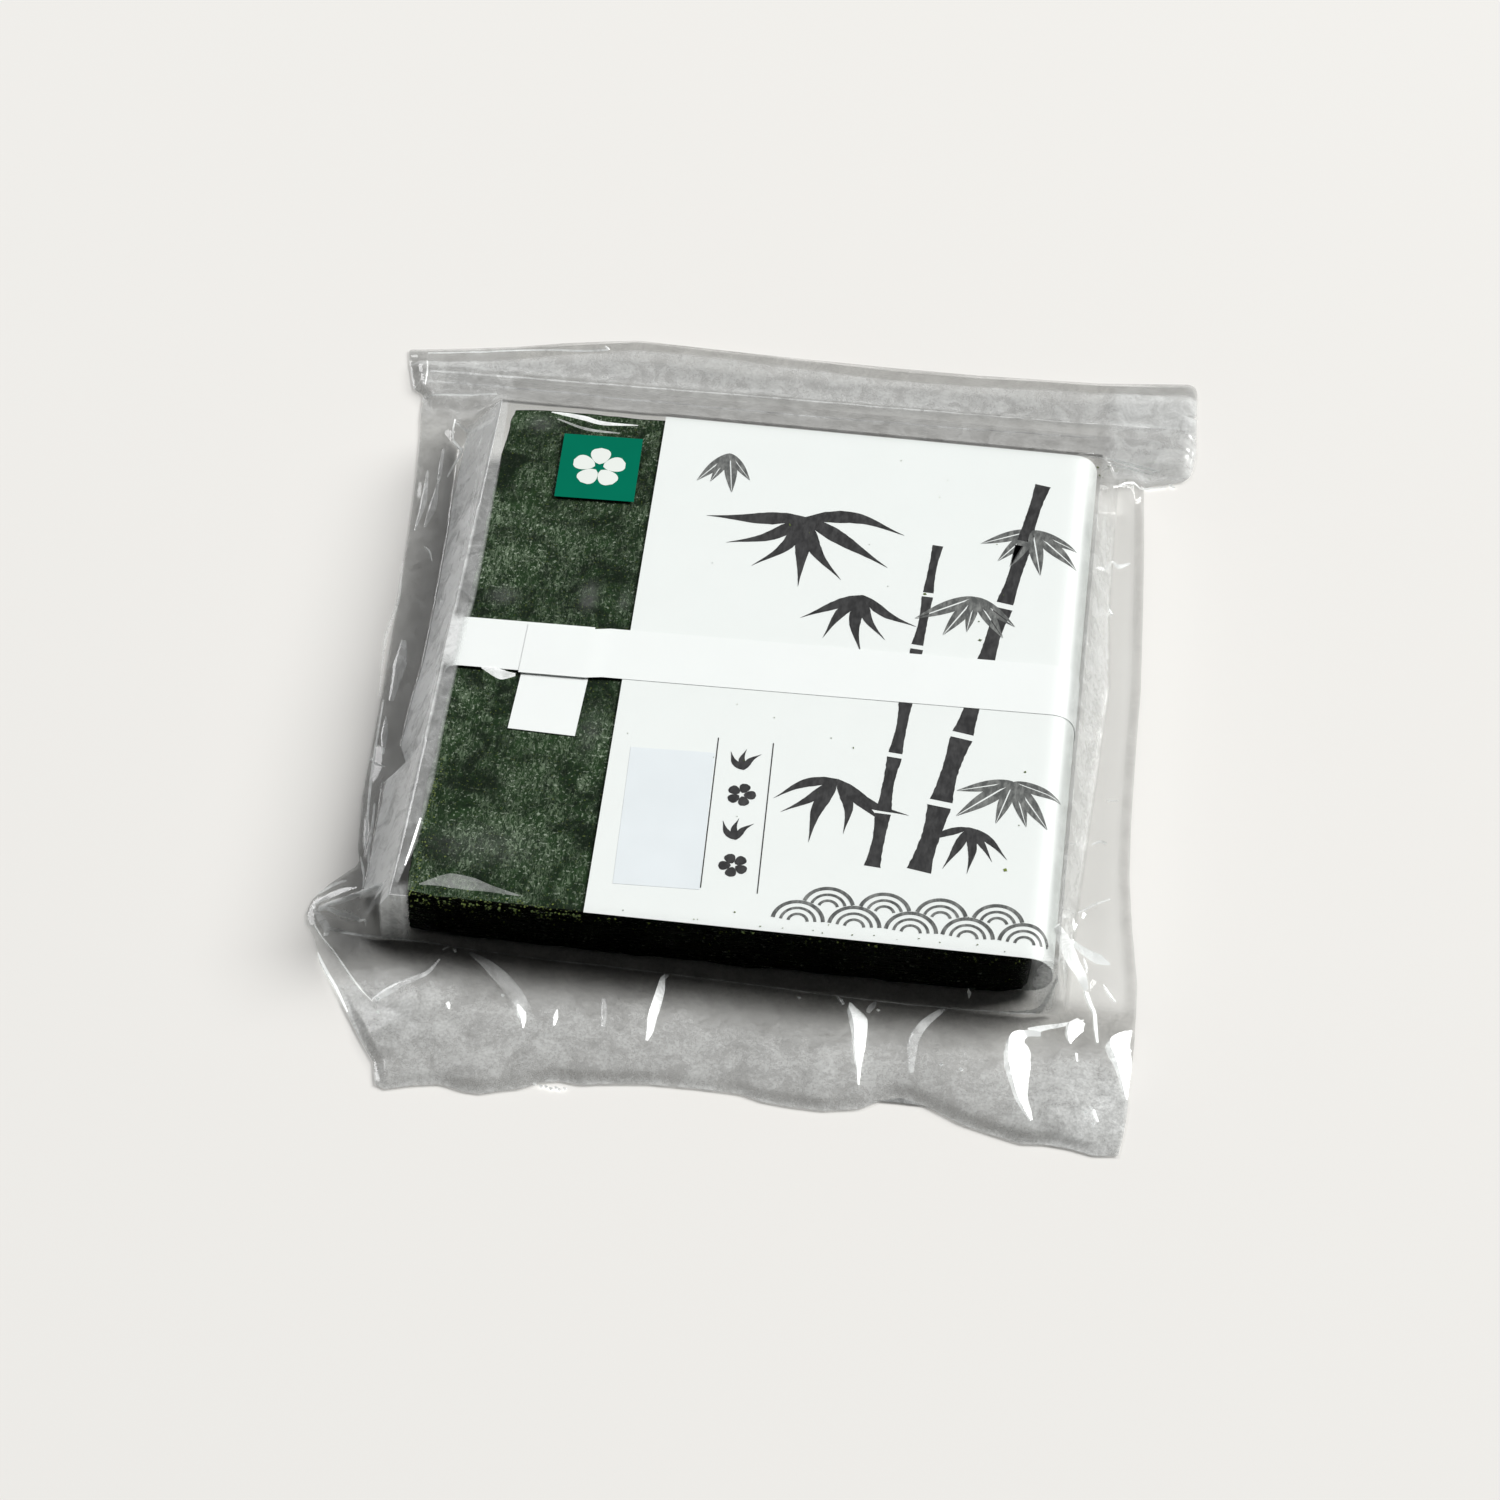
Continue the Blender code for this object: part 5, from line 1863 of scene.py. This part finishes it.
@dataclass
class Studio:
    """The pale floor, the soft lights and the camera at the photograph's angle, all in metres and degrees.

    A light is its name, place, size, power and colour.
    """

    azimuth: float = 5.871
    elevation: float = 49.289
    roll: float = 1.256
    distance: float = 1.26707
    aim: Place = (0.00006, -0.01802, 0.0)
    focal_pixels: float = 4000.0
    image_pixels: float = 1500.0
    sensor: float = 36.0
    floor_size: float = 12.0
    sky: float = 0.035
    lights: tuple[tuple[str, Place, float, float, Place], ...] = (
        ("key", (17.0, 10.0, 12.5), 12.6, 8900.0, (1.0, 0.995, 0.985)),
        ("fill", (-8.4, 8.8, 10.4), 6.8, 1000.0, (0.99, 0.99, 1.0)),
    )

    def place(
        self, name: str, data: bpy.types.ID, axes: tuple[Array, Array, Array], at: Array
    ) -> bpy.types.Object:
        """Puts a camera or a light into the scene.

        Args:
            name: the object's name.
            data: the camera or the light.
            axes: its right, up and back directions.
            at: its place.

        Returns:
            The object.
        """
        made = bpy.data.objects.new(name, data)
        made.matrix_world = Matrix([*zip(*axes, at), (0, 0, 0, 1)])
        bpy.context.scene.collection.objects.link(made)
        return made

    def camera(self) -> None:
        """Looks at the aim point from the fitted direction, with the fitted focal length."""
        a, e, r = (math.radians(angle) for angle in (self.azimuth, self.elevation, self.roll))
        back = np.array([math.sin(a) * math.cos(e), -math.cos(a) * math.cos(e), math.sin(e)])
        right = np.array([math.cos(a), math.sin(a), 0.0])
        up = np.cross(back, right)
        axes = (math.cos(r) * right + math.sin(r) * up, math.cos(r) * up - math.sin(r) * right, back)
        data = bpy.data.cameras.new("camera")
        data.sensor_width = self.sensor
        data.lens = self.focal_pixels / self.image_pixels * self.sensor
        at = np.array(self.aim) + STACK_MIDDLE * MM + back * self.distance
        bpy.context.scene.camera = self.place("camera", data, axes, at)

    def light(self, name: str, at: Place, size: float, power: float, colour: Place) -> None:
        """A square soft light that looks at the pack.

        Args:
            name: its name.
            at: its place.
            size, power, colour: what it is like.
        """
        data = bpy.data.lights.new(name, "AREA")
        data.shape = "SQUARE"
        data.size = size
        data.energy = power
        data.color = colour
        back = np.array(at) / np.linalg.norm(at)
        right = unit_rows(np.cross([0.0, 0.0, 1.0], back))
        self.place(name, data, (right, np.cross(back, right), back), at)

    def floor(self) -> None:
        """A wide pale floor that is part of the stage."""
        half = self.floor_size / 2
        mesh = bpy.data.meshes.new("floor")
        corners = [(-half, -half, 0), (half, -half, 0), (half, half, 0), (-half, half, 0)]
        mesh.from_pydata(corners, [], [(0, 1, 2, 3)])
        made = bpy.data.objects.new("floor", mesh)
        material, work, shader, place = Finish("pale_floor", (0.80, 0.79, 0.765, 1.0), 0.9).start()
        tone = work.mix(work.noise(place, 3.0), (0.795, 0.785, 0.76, 1), (0.805, 0.795, 0.77, 1))
        work.feed(shader.inputs["Base Color"], tone)
        shader.inputs["Specular IOR Level"].default_value = 0.0
        mesh.materials.append(material)
        bpy.context.scene.collection.objects.link(made)

    def build(self) -> None:
        """Sets up the whole stage."""
        scene = bpy.context.scene
        scene.view_settings.view_transform = "Standard"
        scene.world = bpy.data.worlds.new("studio")
        scene.world.use_nodes = True
        background = scene.world.node_tree.nodes["Background"]
        background.inputs["Color"].default_value = (1.0, 1.0, 1.0, 1.0)
        background.inputs["Strength"].default_value = self.sky
        self.floor()
        for light in self.lights:
            self.light(*light)
        self.camera()


@dataclass
class Papers:
    """The wrapper with its print, the band, the blank tab and the two labels."""

    tab: Label = Label("white_tab", "band_tab", Slot.TAB, (-62.9, -16.6), (21.2, 40), -1.5, STACK_TOP + 0.2)
    count: Label = Label(
        "blue_white_label", "count_label", Slot.COUNT, (-20.8, -66), (26.2, 54.5), 2.2,
        WRAPPER_TOP + 0.01, 0.05,
    )
    grade: Label = Label(
        "green_label", "grade_label", Slot.GRADE, (-62.1, 79.7), (26.2, 29.2), 1.8,
        STACK_TOP + LOW_FILM + FILM + 0.12,
    )

    def build(self, grain: bpy.types.NodeTree) -> None:
        """Makes them all, and a blossom in white ink on the green label.

        Args:
            grain: the shared grain.
        """
        wrapper_paper = PaperFinish("wrapper_paper", (0.865, 0.90, 0.885, 1), 0.45, 0.01).make(grain)
        band_paper = PaperFinish("band_paper", (0.90, 0.93, 0.92, 1), 0.5, 0.01).make(grain)
        count_paper = PaperFinish("count_paper", (0.81, 0.86, 0.885, 1), 0.4).make(grain)
        green_paper = PaperFinish("green_paper", (0.0002, 0.160, 0.093, 1), 0.5, 0.06, 0.05, 0.02).make(grain)
        black_ink = InkFinish("black_ink", (0.018, 0.018, 0.019, 1), 0.5, (0.045, 0.045, 0.046, 1)).make()
        grey_ink = InkFinish("grey_ink", (0.085, 0.09, 0.088, 1), 0.5, (0.25, 0.26, 0.25, 1)).make()
        white_ink = PaperFinish("white_ink", (0.80, 0.84, 0.80, 1), 0.5).make(grain)
        wrapper = Wrapper()
        wrapper.build(wrapper_paper)
        Artwork(wrapper).build(black_ink, grey_ink)
        Band().build(band_paper)
        self.tab.build(band_paper)
        self.count.build(count_paper)
        self.grade.build(green_paper)
        mark = Ink(self.grade.lay)
        mark.blossom((0.0, 0.0), 9.0, 0.314)
        mark.make("green_label_blossom", white_ink, Slot.GRADE)


def main() -> None:
    """Builds the sub-assemblies in order."""
    logging.basicConfig(level=logging.INFO, format="%(name)s %(message)s")
    grain = fine_grain_group()
    film = FilmFinish("clear_film", (0.90, 0.915, 0.91, 1), 0.4).make()
    zip_film = FilmFinish("zip_film", (0.80, 0.81, 0.81, 1), 0.4).make()
    crumb = InkFinish("nori_crumb", (0.05, 0.085, 0.012, 1), 0.7, (0.20, 0.26, 0.04, 1)).make()

    Studio().build()
    NoriStack().build(NoriFinish("roasted_nori").make(grain))
    Papers().build(grain)
    bag = Bag()
    bag.build(film)
    Creases(bag).build(film)
    Zip().build(zip_film)
    Crumbs().build(crumb)


if __name__ == "__main__":
    main()
